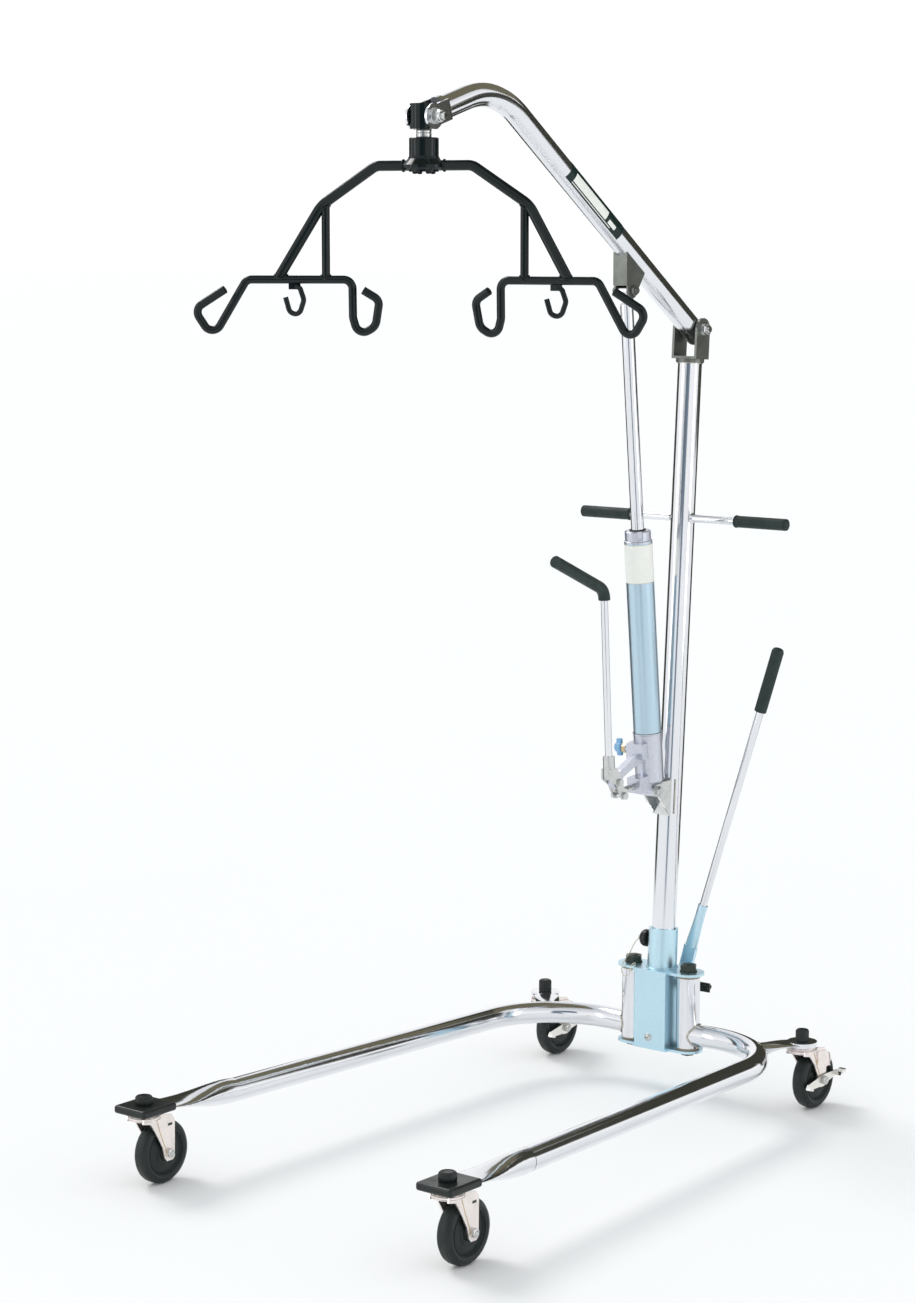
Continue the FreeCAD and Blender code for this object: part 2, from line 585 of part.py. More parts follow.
def make_caster(side, x, y, under, name, braked):
    """A swivel fork trailing towards the back, with its axle bolt, and its wheel."""
    trail = size("caster_trail")
    axle_height = size("wheel_diameter") / 2
    frame = at(WORLD, side * size(x), size(y), 0)
    top = under - 0.3
    race_low = top - size("race_height")
    race = turned(at(frame, 0, 0, race_low), [
        ("dims.stem_diameter / 2 + 0.05", "1.6"), ("dims.race_diameter / 2 - 5", "1.6"),
        ("dims.race_diameter / 2 - 3", "0"),
        ("dims.race_diameter / 2", "0"), ("dims.race_diameter / 2", "4.6"),
        ("dims.race_diameter / 2 - 2.5", "5"), ("dims.race_diameter / 2 - 2.5", "8.2"),
        ("dims.race_diameter / 2 - 5", cell("race_height")),
        ("dims.stem_diameter / 2 + 0.05", cell("race_height")),
    ], "race")
    cheeks = []
    outline = [
        (-19, race_low + 5), (-21, race_low - 2), (-4, race_low - 6), (10, 82), (21, 62),
        (trail - 10.5, 44), (trail - 6, 38.5), (trail + 7, 38.5), (trail + 11.5, 43),
        (trail + 12.5, race_low - 8), (trail + 6, race_low + 1), (24, race_low + 5),
    ]
    for cheek in (-1, 1):
        offset = cheek * (size("cheek_gap") + size("cheek_thick")) / 2
        cheeks.append(polygon_plate(at(frame, offset, 0, 0), outline, size("cheek_thick")))
    bridge = block(at(frame, 0, 4, race_low + 1.6), "dims.cheek_gap + 2 * dims.cheek_thick", "40", "2.6")
    stem_space = cylinder(at(frame, 0, 0, race_low - 20), "dims.stem_diameter / 2 + 0.05", "60")
    half = (size("cheek_gap") + 2 * size("cheek_thick")) / 2
    axle_hole = cylinder(at(frame, -40, trail, axle_height, "x"), "dims.axle_diameter / 2", "80")
    pieces = [race, bridge, *cheeks]
    nut_gap = 0.0
    if braked:
        nut_gap = 3.4
        guard = [
            (18, race_low - 1), (18, 74), (30, 71), (54, 73), (60, 82), (56, 94), (44, race_low - 4),
        ]
        pieces.append(polygon_plate(at(frame, half + 1.2, 0, 0), guard, 2.4))
    fork = cut(fuse(*pieces), stem_space, axle_hole)
    axle = fuse(
        cylinder(
            at(frame, -half - 4, trail, axle_height, "x"), "dims.axle_diameter / 2",
            "%.4f" % (2 * half + 8 + nut_gap),
        ),
        hexagon(at(frame, half + nut_gap, trail, axle_height, "x"), cell("axle_head"), "5"),
        hexagon(at(frame, -half - 5, trail, axle_height, "x"), cell("axle_head"), "5"),
    )
    node(group(fork, axle), "caster_fork_" + name)

    wheel = turned(at(frame, 0, trail, axle_height, "x"), [
        ("dims.axle_diameter / 2 + 0.05", "-dims.hub_width / 2"),
        ("13", "-dims.hub_width / 2"), ("14", "-dims.hub_width / 2 + 3"),
        ("34", "-dims.wheel_width / 2 + 4.5"), ("37", "-dims.wheel_width / 2 + 1.5"),
        ("dims.wheel_diameter / 2 - 9", "-dims.wheel_width / 2"),
        ("dims.wheel_diameter / 2 - 4", "-dims.wheel_width / 2 + 2"),
        ("dims.wheel_diameter / 2 - 1", "-dims.wheel_width / 2 + 5.5"),
        ("dims.wheel_diameter / 2", "-dims.wheel_width / 2 + 10"),
        ("dims.wheel_diameter / 2", "dims.wheel_width / 2 - 10"),
        ("dims.wheel_diameter / 2 - 1", "dims.wheel_width / 2 - 5.5"),
        ("dims.wheel_diameter / 2 - 4", "dims.wheel_width / 2 - 2"),
        ("dims.wheel_diameter / 2 - 9", "dims.wheel_width / 2"),
        ("37", "dims.wheel_width / 2 - 1.5"), ("34", "dims.wheel_width / 2 - 4.5"),
        ("14", "dims.hub_width / 2 - 3"), ("13", "dims.hub_width / 2"),
        ("dims.axle_diameter / 2 + 0.05", "dims.hub_width / 2"),
    ], "wheel")
    node(wheel, "wheel_" + name)

    if braked:
        make_brake(frame, name)


def make_brake(frame, name):
    """A double-ended brake lever on the outer end of the axle: toe in front, pedal behind."""
    trail = size("caster_trail")
    axle = size("wheel_diameter") / 2
    face = size("cheek_gap") / 2 + size("cheek_thick") + 0.4
    arm = [
        (-50, -4), (-47, -9), (-36, -10), (-12, -9.5), (6, -10), (14, -5), (38, 0), (44, 1),
        (44, 8), (34, 9), (12, 9.5), (-10, 8), (-38, 3), (-48, 1),
    ]
    toe = [(-52, -7), (-44, -9.5), (-42, -9.5), (-42, -5.5), (-51, -2)]
    pedal = [(38, 0.5), (43, 1), (57, 5), (57, 9), (50, 9), (42, 6)]
    pieces = []
    for outline, thick in ((arm, 2.4), (toe, 9.0), (pedal, 12.0)):
        points = [(trail + y, axle + z) for y, z in outline]
        pieces.append(polygon_plate(at(frame, face + thick / 2, 0, 0), points, thick))
    bore = cylinder(
        at(frame, face - 2, trail, axle, "x"), "dims.axle_diameter / 2 + 0.05", "8"
    )
    node(cut(fuse(*pieces), bore), "brake_pedal_" + name)


def make_mast():
    tube = cylinder(at(MAST, 0, 0, 2), "dims.mast_diameter / 2", cell("mast_length"))
    bore = cylinder(at(MAST, 0, 0, 2), "dims.mast_diameter / 2 - dims.mast_wall", cell("mast_length"))
    bar_hole = cylinder(at(MAST, -40, 0, size("handlebar_height"), "x"), "dims.handlebar_diameter / 2", "80")
    node(cut(tube, bore, bar_hole), "mast_tube")

    top = size("mast_length") + 2
    ring = cylinder(at(MAST, 0, 0, top), "dims.mast_diameter / 2 + 3.5", cell("clevis_base"))
    shoulder = cylinder(at(MAST, 0, 0, top - 14), "dims.mast_diameter / 2 - dims.mast_wall", "14")
    saddle = block(
        at(MAST, 0, 0, top + size("clevis_base")), "dims.clevis_gap + 2 * dims.clevis_ear",
        cell("clevis_width"), cell("clevis_ear"),
    )
    ears = []
    pivot = size("clevis_pivot")
    low = top + size("clevis_base")
    for side in (-1, 1):
        offset = side * (size("clevis_gap") + size("clevis_ear")) / 2
        ears.append(block(
            at(MAST, offset, 0, low), cell("clevis_ear"), cell("clevis_width"), "%.4f" % (pivot - low)
        ))
        ears.append(cylinder(
            at(MAST, offset - size("clevis_ear") / 2, 0, pivot, "x"), "dims.clevis_width / 2",
            cell("clevis_ear"),
        ))
    pin_hole = cylinder(at(MAST, -60, 0, pivot, "x"), "dims.pivot_pin / 2", "120")
    node(cut(fuse(ring, shoulder, saddle, *ears), pin_hole), "mast_clevis")

    half = size("clevis_gap") / 2 + size("clevis_ear")
    shank = cylinder(at(MAST, -half - 4, 0, pivot, "x"), "dims.pivot_pin / 2", "%.4f" % (2 * half + 14))
    head = hexagon(at(MAST, -half - 7, 0, pivot, "x"), "21", "7")
    nut = hexagon(at(MAST, half + 1.5, 0, pivot, "x"), "19", "7")
    washer = cylinder(at(MAST, half, 0, pivot, "x"), "11.5", "1.5")
    node(fuse(shank, head, nut, washer), "boom_pivot_bolt")

    bar_height = size("handlebar_height")
    bar = cylinder(
        at(MAST, -size("handlebar_half") + 3, 0, bar_height, "x"),
        "dims.handlebar_diameter / 2", "2 * dims.handlebar_half - 6",
    )
    weld_start = size("mast_diameter") / 2 - 0.6
    welds = [
        cone(
            at(MAST, side * weld_start, 0, bar_height, "x" if side > 0 else "-x"),
            "dims.handlebar_diameter / 2 + 3", "dims.handlebar_diameter / 2", "4",
        )
        for side in (-1, 1)
    ]
    mast_space = cylinder(at(MAST, 0, 0, 2), "dims.mast_diameter / 2", cell("mast_length"))
    node(fuse(bar, *[cut(weld, mast_space) for weld in welds]), "handlebar_rod")
    grips = []
    for side in (-1, 1):
        place = at(
            MAST, side * (size("handlebar_half") - size("grip_length")), 0, bar_height,
            "x" if side > 0 else "-x",
        )
        grips.append(turned(place, [
            ("dims.handlebar_diameter / 2", "0"), ("dims.grip_diameter / 2 - 1", "0"),
            ("dims.grip_diameter / 2", "1"), ("dims.grip_diameter / 2", "dims.grip_length - 5"),
            ("dims.grip_diameter / 2 - 1.6", "dims.grip_length - 1.6"),
            ("dims.grip_diameter / 2 - 5", cell("grip_length")), ("0", cell("grip_length")),
            ("0", "dims.grip_length - 3"), ("dims.handlebar_diameter / 2", "dims.grip_length - 3"),
        ], "grip"))
    node(group(*grips), "handlebar_grips")

    # bracket that carries the pump's foot: a strap on the mast with two ears
    foot = MAST.inverse().multVec(PUMP.Base)
    strap = block(at(MAST, 0, -size("mast_diameter") / 2 - 2.2, foot.z - 46), "34", "4.4", "64")
    flanges = []
    ear = [
        (-22.0, foot.z - 46), (foot.y + 4, foot.z - 12), (foot.y - 9, foot.z - 9), (foot.y - 13, foot.z),
        (foot.y - 10, foot.z + 9), (foot.y, foot.z + 11), (-22.0, foot.z + 16),
    ]
    for side in (-1, 1):
        flanges.append(polygon_plate(at(MAST, side * 15.2, 0, 0), ear, 3.6))
    hole = cylinder(at(PUMP, -40, 0, 0, "x"), "dims.foot_pin / 2", "80")
    mast_keep = cylinder(at(MAST, 0, 0, 2), "dims.mast_diameter / 2", cell("mast_length"))
    node(cut(fuse(strap, *flanges), mast_keep, hole), "pump_bracket")
    pin = fuse(
        cylinder(at(PUMP, -22, 0, 0, "x"), "dims.foot_pin / 2", "46"),
        hexagon(at(PUMP, 17.2, 0, 0, "x"), "16", "5.5"),
        hexagon(at(PUMP, -22.5, 0, 0, "x"), "16", "5.5"),
    )
    node(pin, "pump_foot_bolt")


def make_pump():
    low = size("casting_low")
    high = size("cylinder_low")
    body = turned(at(PUMP, 0, 0, 0), [
        ("0", "%.3f" % low), ("dims.casting_diameter / 2 - 4", "%.3f" % low),
        ("dims.casting_diameter / 2", "%.3f" % (low + 4)),
        ("dims.casting_diameter / 2", "dims.cylinder_low - 3"),
        ("dims.casting_diameter / 2 + 1", "dims.cylinder_low - 2"),
        ("dims.casting_diameter / 2 + 1", cell("cylinder_low")), ("0", cell("cylinder_low")),
    ], "casting")
    foot = block(at(PUMP, 0, 0, -3), "26", "20", "%.3f" % (low + 8))
    foot_round = cylinder(at(PUMP, -13, 0, 0, "x"), "11", "26")
    shelf = block(at(PUMP, -3, -26, 62), "34", "22", "26")
    valve_boss = cylinder(at(PUMP, 0, -20, 75, "-x"), "8", "28")
    valve_hex = hexagon(at(PUMP, -28, -20, 75, "-x"), "19", "8")
    lug = polygon_plate(at(PUMP), [
        (-18, 74), (-40, 72), (-88, 56), (-104, 49.5), (-111, 44), (-111, 33), (-105, 27),
        (-96, 27), (-89, 32), (-84, 42), (-72, 46), (-50, 52), (-18, 56),
    ], size("lug_thick"))
    chest = block(at(PUMP, 0, -30, 5), "26", "36", "26")
    plunger_bore = cylinder(at(PUMP, 0, -90, 17, "y"), "dims.plunger / 2 + 0.05", "80")
    pin_bore = cylinder(at(PUMP, -40, 0, 0, "x"), "dims.foot_pin / 2 + 0.05", "80")
    lug_bore = cylinder(
        at(PUMP, -20, size("handle_pivot_y"), size("handle_pivot_z"), "x"), "dims.lug_pin / 2 + 0.05", "40"
    )
    stem_bore = cylinder(at(PUMP, -22, -20, 75, "-x"), "3.55", "30")
    casting = cut(
        fuse(body, foot, foot_round, shelf, valve_boss, valve_hex, lug, chest),
        plunger_bore, pin_bore, lug_bore, stem_bore,
    )
    node(casting, "pump_casting")

    wall = cylinder(
        at(PUMP, 0, 0, high), "dims.cylinder_diameter / 2", "dims.cylinder_high - dims.cylinder_low"
    )
    bore = cylinder(
        at(PUMP, 0, 0, high), "dims.cylinder_bore / 2", "dims.cylinder_high - dims.cylinder_low"
    )
    node(cut(wall, bore), "pump_cylinder")
    nut = turned(at(PUMP, 0, 0, size("cylinder_high")), [
        ("dims.rod_diameter / 2 + 0.1", "0"), ("dims.gland_diameter / 2 + 2", "0"),
        ("dims.gland_diameter / 2 + 2", "2.5"), ("dims.gland_diameter / 2", "3.5"),
        ("dims.gland_diameter / 2", "dims.gland_high - dims.cylinder_high - 1.5"),
        ("dims.gland_diameter / 2 - 1.5", "dims.gland_high - dims.cylinder_high"),
        ("dims.rod_diameter / 2 + 0.1", "dims.gland_high - dims.cylinder_high"),
    ], "gland")
    slots = []
    for i in range(4):
        turn = Placement(Vector(), Rotation(Vector(0, 0, 1), 45 + 90 * i))
        slots.append(block(at(PUMP, 0, 0, size("cylinder_high") + 6).multiply(turn).multiply(
            Placement(Vector(0, size("gland_diameter") / 2, 0), Rotation())), "9", "7", "20"))
    node(cut(nut, *slots), "gland_nut")

    length = pump_way.Length
    rod = turned(at(PUMP, 0, 0, size("rod_low")), [
        ("0", "0"), ("dims.cylinder_bore / 2 - 0.1", "0"), ("dims.cylinder_bore / 2 - 0.1", "18"),
        ("dims.rod_diameter / 2", "18"), ("dims.rod_diameter / 2", "%.4f - dims.rod_low" % (length - 22)),
        ("dims.rod_diameter / 2 - 2", "%.4f - dims.rod_low" % (length - 19)),
        ("0", "%.4f - dims.rod_low" % (length - 19)),
    ], "ram")
    neck = block(at(PUMP, 0, 0, length - 26), cell("rod_eye"), "17", "26")
    eye = cylinder(at(PUMP, -size("rod_eye") / 2, 0, length, "x"), "10.5", cell("rod_eye"))
    node(fuse(rod, neck, eye), "piston_rod")

    plunger = fuse(
        cylinder(at(PUMP, 0, -74.5, 17, "y"), "dims.plunger / 2", "44"),
        ball(at(PUMP, 0, -74.5, 17), "dims.plunger / 2"),
    )
    node(plunger, "pump_plunger")

    knob = fuse(
        cylinder(at(PUMP, -23, -20, 75, "-x"), "3.5", "22"),
        turned(at(PUMP, -38, -20, 75, "-x"), [
            ("0", "0"), ("6", "0"), ("9", "2"), ("9", "12"), ("7", "14"), ("0", "14"),
        ], "valve"),
        rounded(block(at(PUMP, -40, -20, 75, "-x"), "30", "7", "10"), 2.0),
    )
    node(knob, "release_valve_knob")


def make_handle():
    offset = size("handle_offset")
    socket = cylinder(at(HANDLE, 0, offset, 8), "dims.handle_socket / 2", "39")
    rod_hole = cylinder(at(HANDLE, 0, offset, 20), "dims.handle_rod / 2", "40")
    cheek = [
        (offset - 9, 26), (offset - 9, 8), (-6, -6), (7, -31), (16, -33), (19, -24), (9, -4),
        (8, 6), (offset + 9, 26),
    ]
    cheeks = [
        polygon_plate(at(HANDLE, side * (size("lug_thick") / 2 + 2.4)), cheek, 3.6)
        for side in (-1, 1)
    ]
    pins = [
        fuse(
            cylinder(at(HANDLE, -14, y, z, "x"), "dims.lug_pin / 2", "28"),
            hexagon(at(HANDLE, 10.2, y, z, "x"), "13", "4"),
            hexagon(at(HANDLE, -14.2, y, z, "x"), "13", "4"),
        )
        for y, z in ((0, 0), (12.5, -25.8))
    ]
    lug_space = cylinder(at(HANDLE, -size("lug_thick") / 2 - 0.6, 0, 0, "x"), "14.5", "dims.lug_thick + 1.2")
    pivot_keep = cylinder(at(HANDLE, -14, 0, 0, "x"), "dims.lug_pin / 2", "28")
    node(fuse(cut(fuse(cut(socket, rod_hole), *cheeks), lug_space), pivot_keep, *pins), "handle_socket")

    rise = math.radians(26.7)
    bend = Vector(0, offset, 329)
    tip = bend + Vector(0, -math.cos(rise), math.sin(rise)) * 147
    hold = bend + Vector(0, -math.cos(rise), math.sin(rise)) * 143
    points = [HANDLE.multVec(p) for p in (Vector(0, offset, 20), bend, hold)]
    node(swept(points, [24.0], "dims.handle_rod / 2"), "handle_rod")
    low = Vector(0, offset, 312)
    cover_points = [HANDLE.multVec(p) for p in (low, bend, tip)]
    cover = swept(cover_points, [24.0], "dims.grip_diameter / 2")
    core = swept(points, [24.0], "dims.handle_rod / 2")
    node(cut(cover, core), "handle_grip")


def make_boom():
    tail = Vector(0, size("boom_tail"), 0)
    end = boom_tip - nose_way * 31
    points = [BOOM.multVec(p) for p in (tail, boom_corner, end)]
    outer = swept(points, [size("boom_bend")], "dims.boom_diameter / 2")
    inner = swept(points, [size("boom_bend")], "dims.boom_diameter / 2 - dims.boom_wall")
    sleeve = cylinder(at(BOOM, -size("boom_diameter") / 2 + 1, 0, 0, "x"), "10", "dims.boom_diameter - 2")
    pin_hole = cylinder(at(BOOM, -40, 0, 0, "x"), "dims.pivot_pin / 2 + 0.05", "80")
    node(cut(fuse(cut(outer, inner), sleeve), pin_hole), "boom_tube")

    # pump bracket under the boom: a folded strap, open at the back
    frame = Placement(ram_top, Rotation())
    half = size("bracket_width") / 2
    sheet_thick = size("bracket_sheet")
    ear = [(-14.0, 2), (-10, -9), (-2, -13.5), (7, -11), (12, -3), (38, 34), (-14, 72)]
    ears = [
        polygon_plate(at(frame, side * (half - sheet_thick / 2)), ear, sheet_thick)
        for side in (-1, 1)
    ]
    web = block(at(frame, 0, -14 - sheet_thick / 2, 8), cell("bracket_width"), cell("bracket_sheet"), "64")
    boom_space = swept(points, [size("boom_bend")], "dims.boom_diameter / 2")
    ends = []
    for side in (-1, 1):
        ends.append(fuse(
            cylinder(at(frame, side * (half - sheet_thick), 0, 0, "x" if side > 0 else "-x"), "5", "13"),
            hexagon(at(frame, side * half, 0, 0, "x" if side > 0 else "-x"), "17", "6.5"),
        ))
    node(fuse(cut(fuse(web, *ears), boom_space), *ends), "boom_pump_bracket")

    # clevis at the boom's tip
    gap = size("tip_gap") / 2
    tip_ears = []
    for side in (-1, 1):
        offset = side * (gap + size("tip_ear") / 2)
        tip_ears.append(cylinder(
            at(TIP, offset - size("tip_ear") / 2, 0, 0, "x"), cell("tip_radius"), cell("tip_ear")
        ))
        tip_ears.append(block(at(TIP, offset, 20, -16), cell("tip_ear"), "40", "32"))
    collar = cylinder(at(TIP, 0, 29.5, 0, "y"), "dims.tip_gap / 2 + dims.tip_ear", "11")
    hole = cylinder(at(TIP, -40, 0, 0, "x"), "dims.tip_pin / 2", "80")
    nose_space = swept(points, [size("boom_bend")], "dims.boom_diameter / 2")
    node(cut(fuse(collar, *tip_ears), hole, nose_space), "boom_tip_clevis")
    outside = gap + size("tip_ear")
    bolt = fuse(
        cylinder(at(TIP, -outside - 4, 0, 0, "x"), "dims.tip_pin / 2", "%.4f" % (2 * outside + 19)),
        hexagon(at(TIP, -outside - 7, 0, 0, "x"), "21", "7"),
        cylinder(at(TIP, outside, 0, 0, "x"), "12", "2"),
        hexagon(at(TIP, outside + 2, 0, 0, "x"), "20", "9"),
    )
    node(bolt, "tip_bolt")


def make_swivel():
    barrel = cylinder(
        at(SWIVEL, 0, 0, -size("block_height") / 2), "dims.block_diameter / 2", cell("block_height")
    )
    flats = block(at(SWIVEL, 0, 0, -30), "dims.tip_gap - 0.8", "60", "60")
    bore = cylinder(at(SWIVEL, -40, 0, 0, "x"), "dims.tip_pin / 2 + 0.05", "80")
    stud = cylinder(at(SWIVEL, 0, 0, -57), "dims.stud_diameter / 2", "40")
    stop = cylinder(at(SWIVEL, 0, 0, -58), "14", "6")
    node(fuse(cut(common(barrel, flats), bore), stud, stop), "swivel_block")


def make_cradle():
    top = -size("hub_top_drop")
    low = -size("hub_bottom_drop")
    arm = -size("arm_drop")
    flange_low = arm - size("flange_thick") / 2
    housing = turned(at(CRADLE), [
        ("0", "%.3f" % flange_low), ("dims.flange_diameter / 2 - 3", "%.3f" % flange_low),
        ("dims.flange_diameter / 2", "%.3f" % (flange_low + 3)),
        ("dims.flange_diameter / 2", "%.3f" % (arm + 1)),
        ("dims.hub_diameter / 2 + 2", "%.3f" % (low - 1)),
        ("dims.hub_diameter / 2", "%.3f" % (low + 3)),
        ("dims.hub_diameter / 2", "%.3f" % (top - 1.5)), ("dims.hub_diameter / 2 - 1.5", "%.3f" % top),
        ("dims.stud_diameter / 2 + 0.1", "%.3f" % top), ("dims.stud_diameter / 2 + 0.1", "-50"),
        ("16", "-50"), ("16", "-60"), ("0", "-60"),
    ], "hub")
    ends = [
        cylinder(
            at(CRADLE, side * size("arm_start"), 0, arm, "x" if side > 0 else "-x"),
            "dims.arm_diameter / 2", "40",
        )
        for side in (-1, 1)
    ]
    node(cut(housing, *ends), "hub_housing")
    plate = cylinder(at(CRADLE, 0, 0, flange_low - 3), "dims.hub_diameter / 2", "3")
    screws = []
    for i in range(4):
        turn = math.radians(45 + 90 * i)
        screws.append(cylinder(
            at(CRADLE, 15 * math.cos(turn), 15 * math.sin(turn), flange_low - 5.5), "4", "3"
        ))
    node(fuse(plate, *screws), "hub_cover_plate")

    drop = -size("bar_drop")
    for side, name in ((-1, "left"), (1, "right")):
        bar = make_hook_bar(side, drop)
        arm_bar = swept([
            hung(side, size("arm_start"), arm), hung(side, size("shoulder_x"), arm),
            hung(side, size("elbow_x"), -size("elbow_drop")),
            hung(side, size("strut_foot_x"), drop + 3, yawed(size("strut_foot_x"))),
        ], [24.0, 50.0], "dims.arm_diameter / 2")
        post = swept([
            hung(side, size("post_x"), -size("post_drop")), hung(side, size("post_x"), drop + 3),
        ], [], "dims.bar_diameter / 2")
        node(cut(fuse(arm_bar, post), bar), "cradle_arm_" + name)
        node(bar, "cradle_hook_bar_" + name)

    small = []
    for side, alias in ((-1, "small_hook_left"), (1, "small_hook_right")):
        x = size(alias)
        y = yawed(abs(x))
        lie = Rotation(Vector(0, 0, 1), -side * math.degrees(math.atan(size("bar_yaw"))))
        plate = block(CRADLE.multiply(Placement(Vector(x, y, drop - 15), lie)), "18", "4", "10")
        hook = swept(
            [
                CRADLE.multVec(Vector(x + dx, y + dy, drop + dz))
                for dx, dy, dz in (
                    (2, 0, -10), (9, 0, -13), (15, 1, -31), (6, 2, -56), (-9, 1, -49), (-15, 0, -27),
                )
            ],
            [6.0, 11.0, 10.0, 10.0], "dims.small_hook / 2",
        )
        small.append(fuse(cut(plate, make_hook_bar(side, drop)), hook))
    node(group(*small), "cradle_small_hooks")


def yawed(x):
    """How far back the hook bar lies at a distance from the hub: its outer end is forward."""
    return -size("bar_yaw") * (x - size("post_x"))


def hung(side, x, z, y=0.0):
    """A point of the cradle, mirrored to one side."""
    return CRADLE.multVec(Vector(side * x, y, z))


def make_hook_bar(side, drop):
    """One bar: inner hook, straight top run, and the outer hook's rounded triangle."""
    inner = size("hook_inner_x")
    outer = size("hook_outer_x")
    route = [
        (101, -16, -5), (77, -31, -3), (84, -71, 0), (111, -86.5, 3), (inner, -58, 2),
        (inner, 0, 0), (outer, 0, 0), (333, -90, 0), (360, -46, -3), (310, -15, -9),
    ]
    points = [hung(side, x, drop + z, yawed(x) + y) for x, z, y in route]
    radii = [13.0, 18.0, 14.0, 20.0, 14.0, 14.0, 14.0, 14.0]
    return swept(points, radii, "dims.bar_diameter / 2")


def make_lever():
    eye = cylinder(at(LEVER, 0, -size("lever_flat") / 2, 0, "y"), "13", cell("lever_flat"))
    blade = block(at(LEVER, 0, 0, 0), "24", cell("lever_flat"), "112")
    throat = loft([
        (at(LEVER, 0, 0, 111), 12.0, size("lever_flat") / 2),
        (at(LEVER_TOP, 0, 0, 42), 9.6, 7.0),
        (at(LEVER_TOP, 0, 0, 62), size("lever_socket") / 2, size("lever_socket") / 2),
        (at(LEVER_TOP, 0, 0, 82), size("lever_socket") / 2, size("lever_socket") / 2),
    ])
    rod_hole = cylinder(at(LEVER_TOP, 0, 0, 52), "dims.lever_rod / 2", "60")
    bore = cylinder(at(LEVER, 0, -20, 0, "y"), "dims.lever_pin / 2 + 0.05", "40")
    node(cut(fuse(eye, blade, throat), rod_hole, bore), "lever_socket_piece")
    node(cylinder(at(LEVER_TOP, 0, 0, 52), "dims.lever_rod / 2", "500"), "lever_rod")
    grip = turned(at(LEVER_TOP, 0, 0, 441), [
        ("dims.lever_rod / 2", "0"), ("dims.lever_grip / 2 - 1", "0"), ("dims.lever_grip / 2", "1"),
        ("dims.lever_grip / 2", "109"), ("dims.lever_grip / 2 - 2", "113.5"),
        ("dims.lever_grip / 2 - 5", "115"), ("0", "115"), ("0", "111"), ("dims.lever_rod / 2", "111"),
    ], "lever_cover")
    node(grip, "lever_grip")


def make_knob():
    """A domed knob on a short screw that presses on the mast through its socket."""
    start = size("socket_diameter") / 2 + 0.6
    head = turned(at(MAST, -start, 0, size("knob_height"), "-x"), [
        ("0", "0"), ("8", "0"), ("8", "3"), ("dims.knob_diameter / 2 - 1", "3.6"),
        ("dims.knob_diameter / 2", "5.2"), ("dims.knob_diameter / 2", "dims.knob_thick - 8"),
        ("dims.knob_diameter / 2 - 1.5", "dims.knob_thick - 4.5"),
        ("dims.knob_diameter / 2 - 5", "dims.knob_thick - 1.5"),
        ("5", cell("knob_thick")), ("0", cell("knob_thick")),
    ], "clamp")
    screw = cylinder(
        at(MAST, -size("mast_diameter") / 2 - 0.5, 0, size("knob_height"), "-x"),
        "dims.knob_screw / 2 - 0.05", "12",
    )
    node(fuse(head, screw), "mast_clamp_knob")


# The bead chain hangs from an eyelet on the knob's face, loops below the front edge of the
# base plate and comes up to an eyelet on it.
CHAIN_ROUTE = [
    (-50.0, 3.0, 257.5), (-55.5, 1.5, 252.0), (-58.0, -3.5, 244.5), (-58.0, -10.0, 237.0),
    (-58.0, -17.5, 230.0), (-59.5, -25.5, 223.0), (-60.5, -32.5, 215.5), (-60.0, -36.8, 207.5),
    (-57.5, -38.8, 200.8), (-52.5, -39.6, 196.6), (-46.2, -39.8, 196.8), (-41.4, -39.6, 201.2),
    (-39.4, -38.8, 207.8), (-39.0, -36.6, 214.6), (-39.5, -31.6, 218.8), (-40.6, -25.0, 218.3),
]


def make_chain():
    points = [WORLD.multVec(Vector(*p)) for p in CHAIN_ROUTE]
    radii = []
    for i in range(1, len(points) - 1):
        before = points[i - 1] - points[i]
        after = points[i + 1] - points[i]
        turn = math.pi - before.getAngle(after)
        shorter = min(before.Length, after.Length)
        radii.append(0.45 * shorter / math.tan(turn / 2))
    print("chain radii", [round(r, 1) for r in radii])
    node(swept(points, radii, "dims.chain_diameter / 2"), "knob_chain")


make_base()
for side, side_name in ((-1, "left"), (1, "right")):
    make_leg(side, side_name)
    make_caster(
        side, "front_x", "front_y", size("flat_height") - size("pad_thick") / 2,
        "front_" + side_name, False,
    )
    make_caster(
        side, "rear_x", "rear_y", size("rear_flat_top") - size("rear_flat_thick"),
        "rear_" + side_name, True,
    )
make_mast()
make_pump()
make_handle()
make_boom()
make_swivel()
make_cradle()
make_lever()
make_knob()
make_chain()

doc.recompute()
for item in doc.Objects:
    if "Invalid" in item.State or "Error" in item.State:
        raise RuntimeError("%s (%s) failed: %s" % (item.Name, item.Label, item.State))
os.makedirs("parts", exist_ok=True)
for name in node_names:
    item = doc.getObject(name)
    if item.Shape.isNull() or not item.Shape.isValid():
        raise RuntimeError(item.Label + " has no valid shape")
    print("%-24s solids %d volume %.0f" % (item.Label, len(item.Shape.Solids), item.Shape.Volume))
    item.Shape.exportStep("parts/" + item.Label + ".step")
print(len(node_names), "nodes")
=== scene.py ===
import bpy
import json
import math
from mathutils import Matrix, Vector


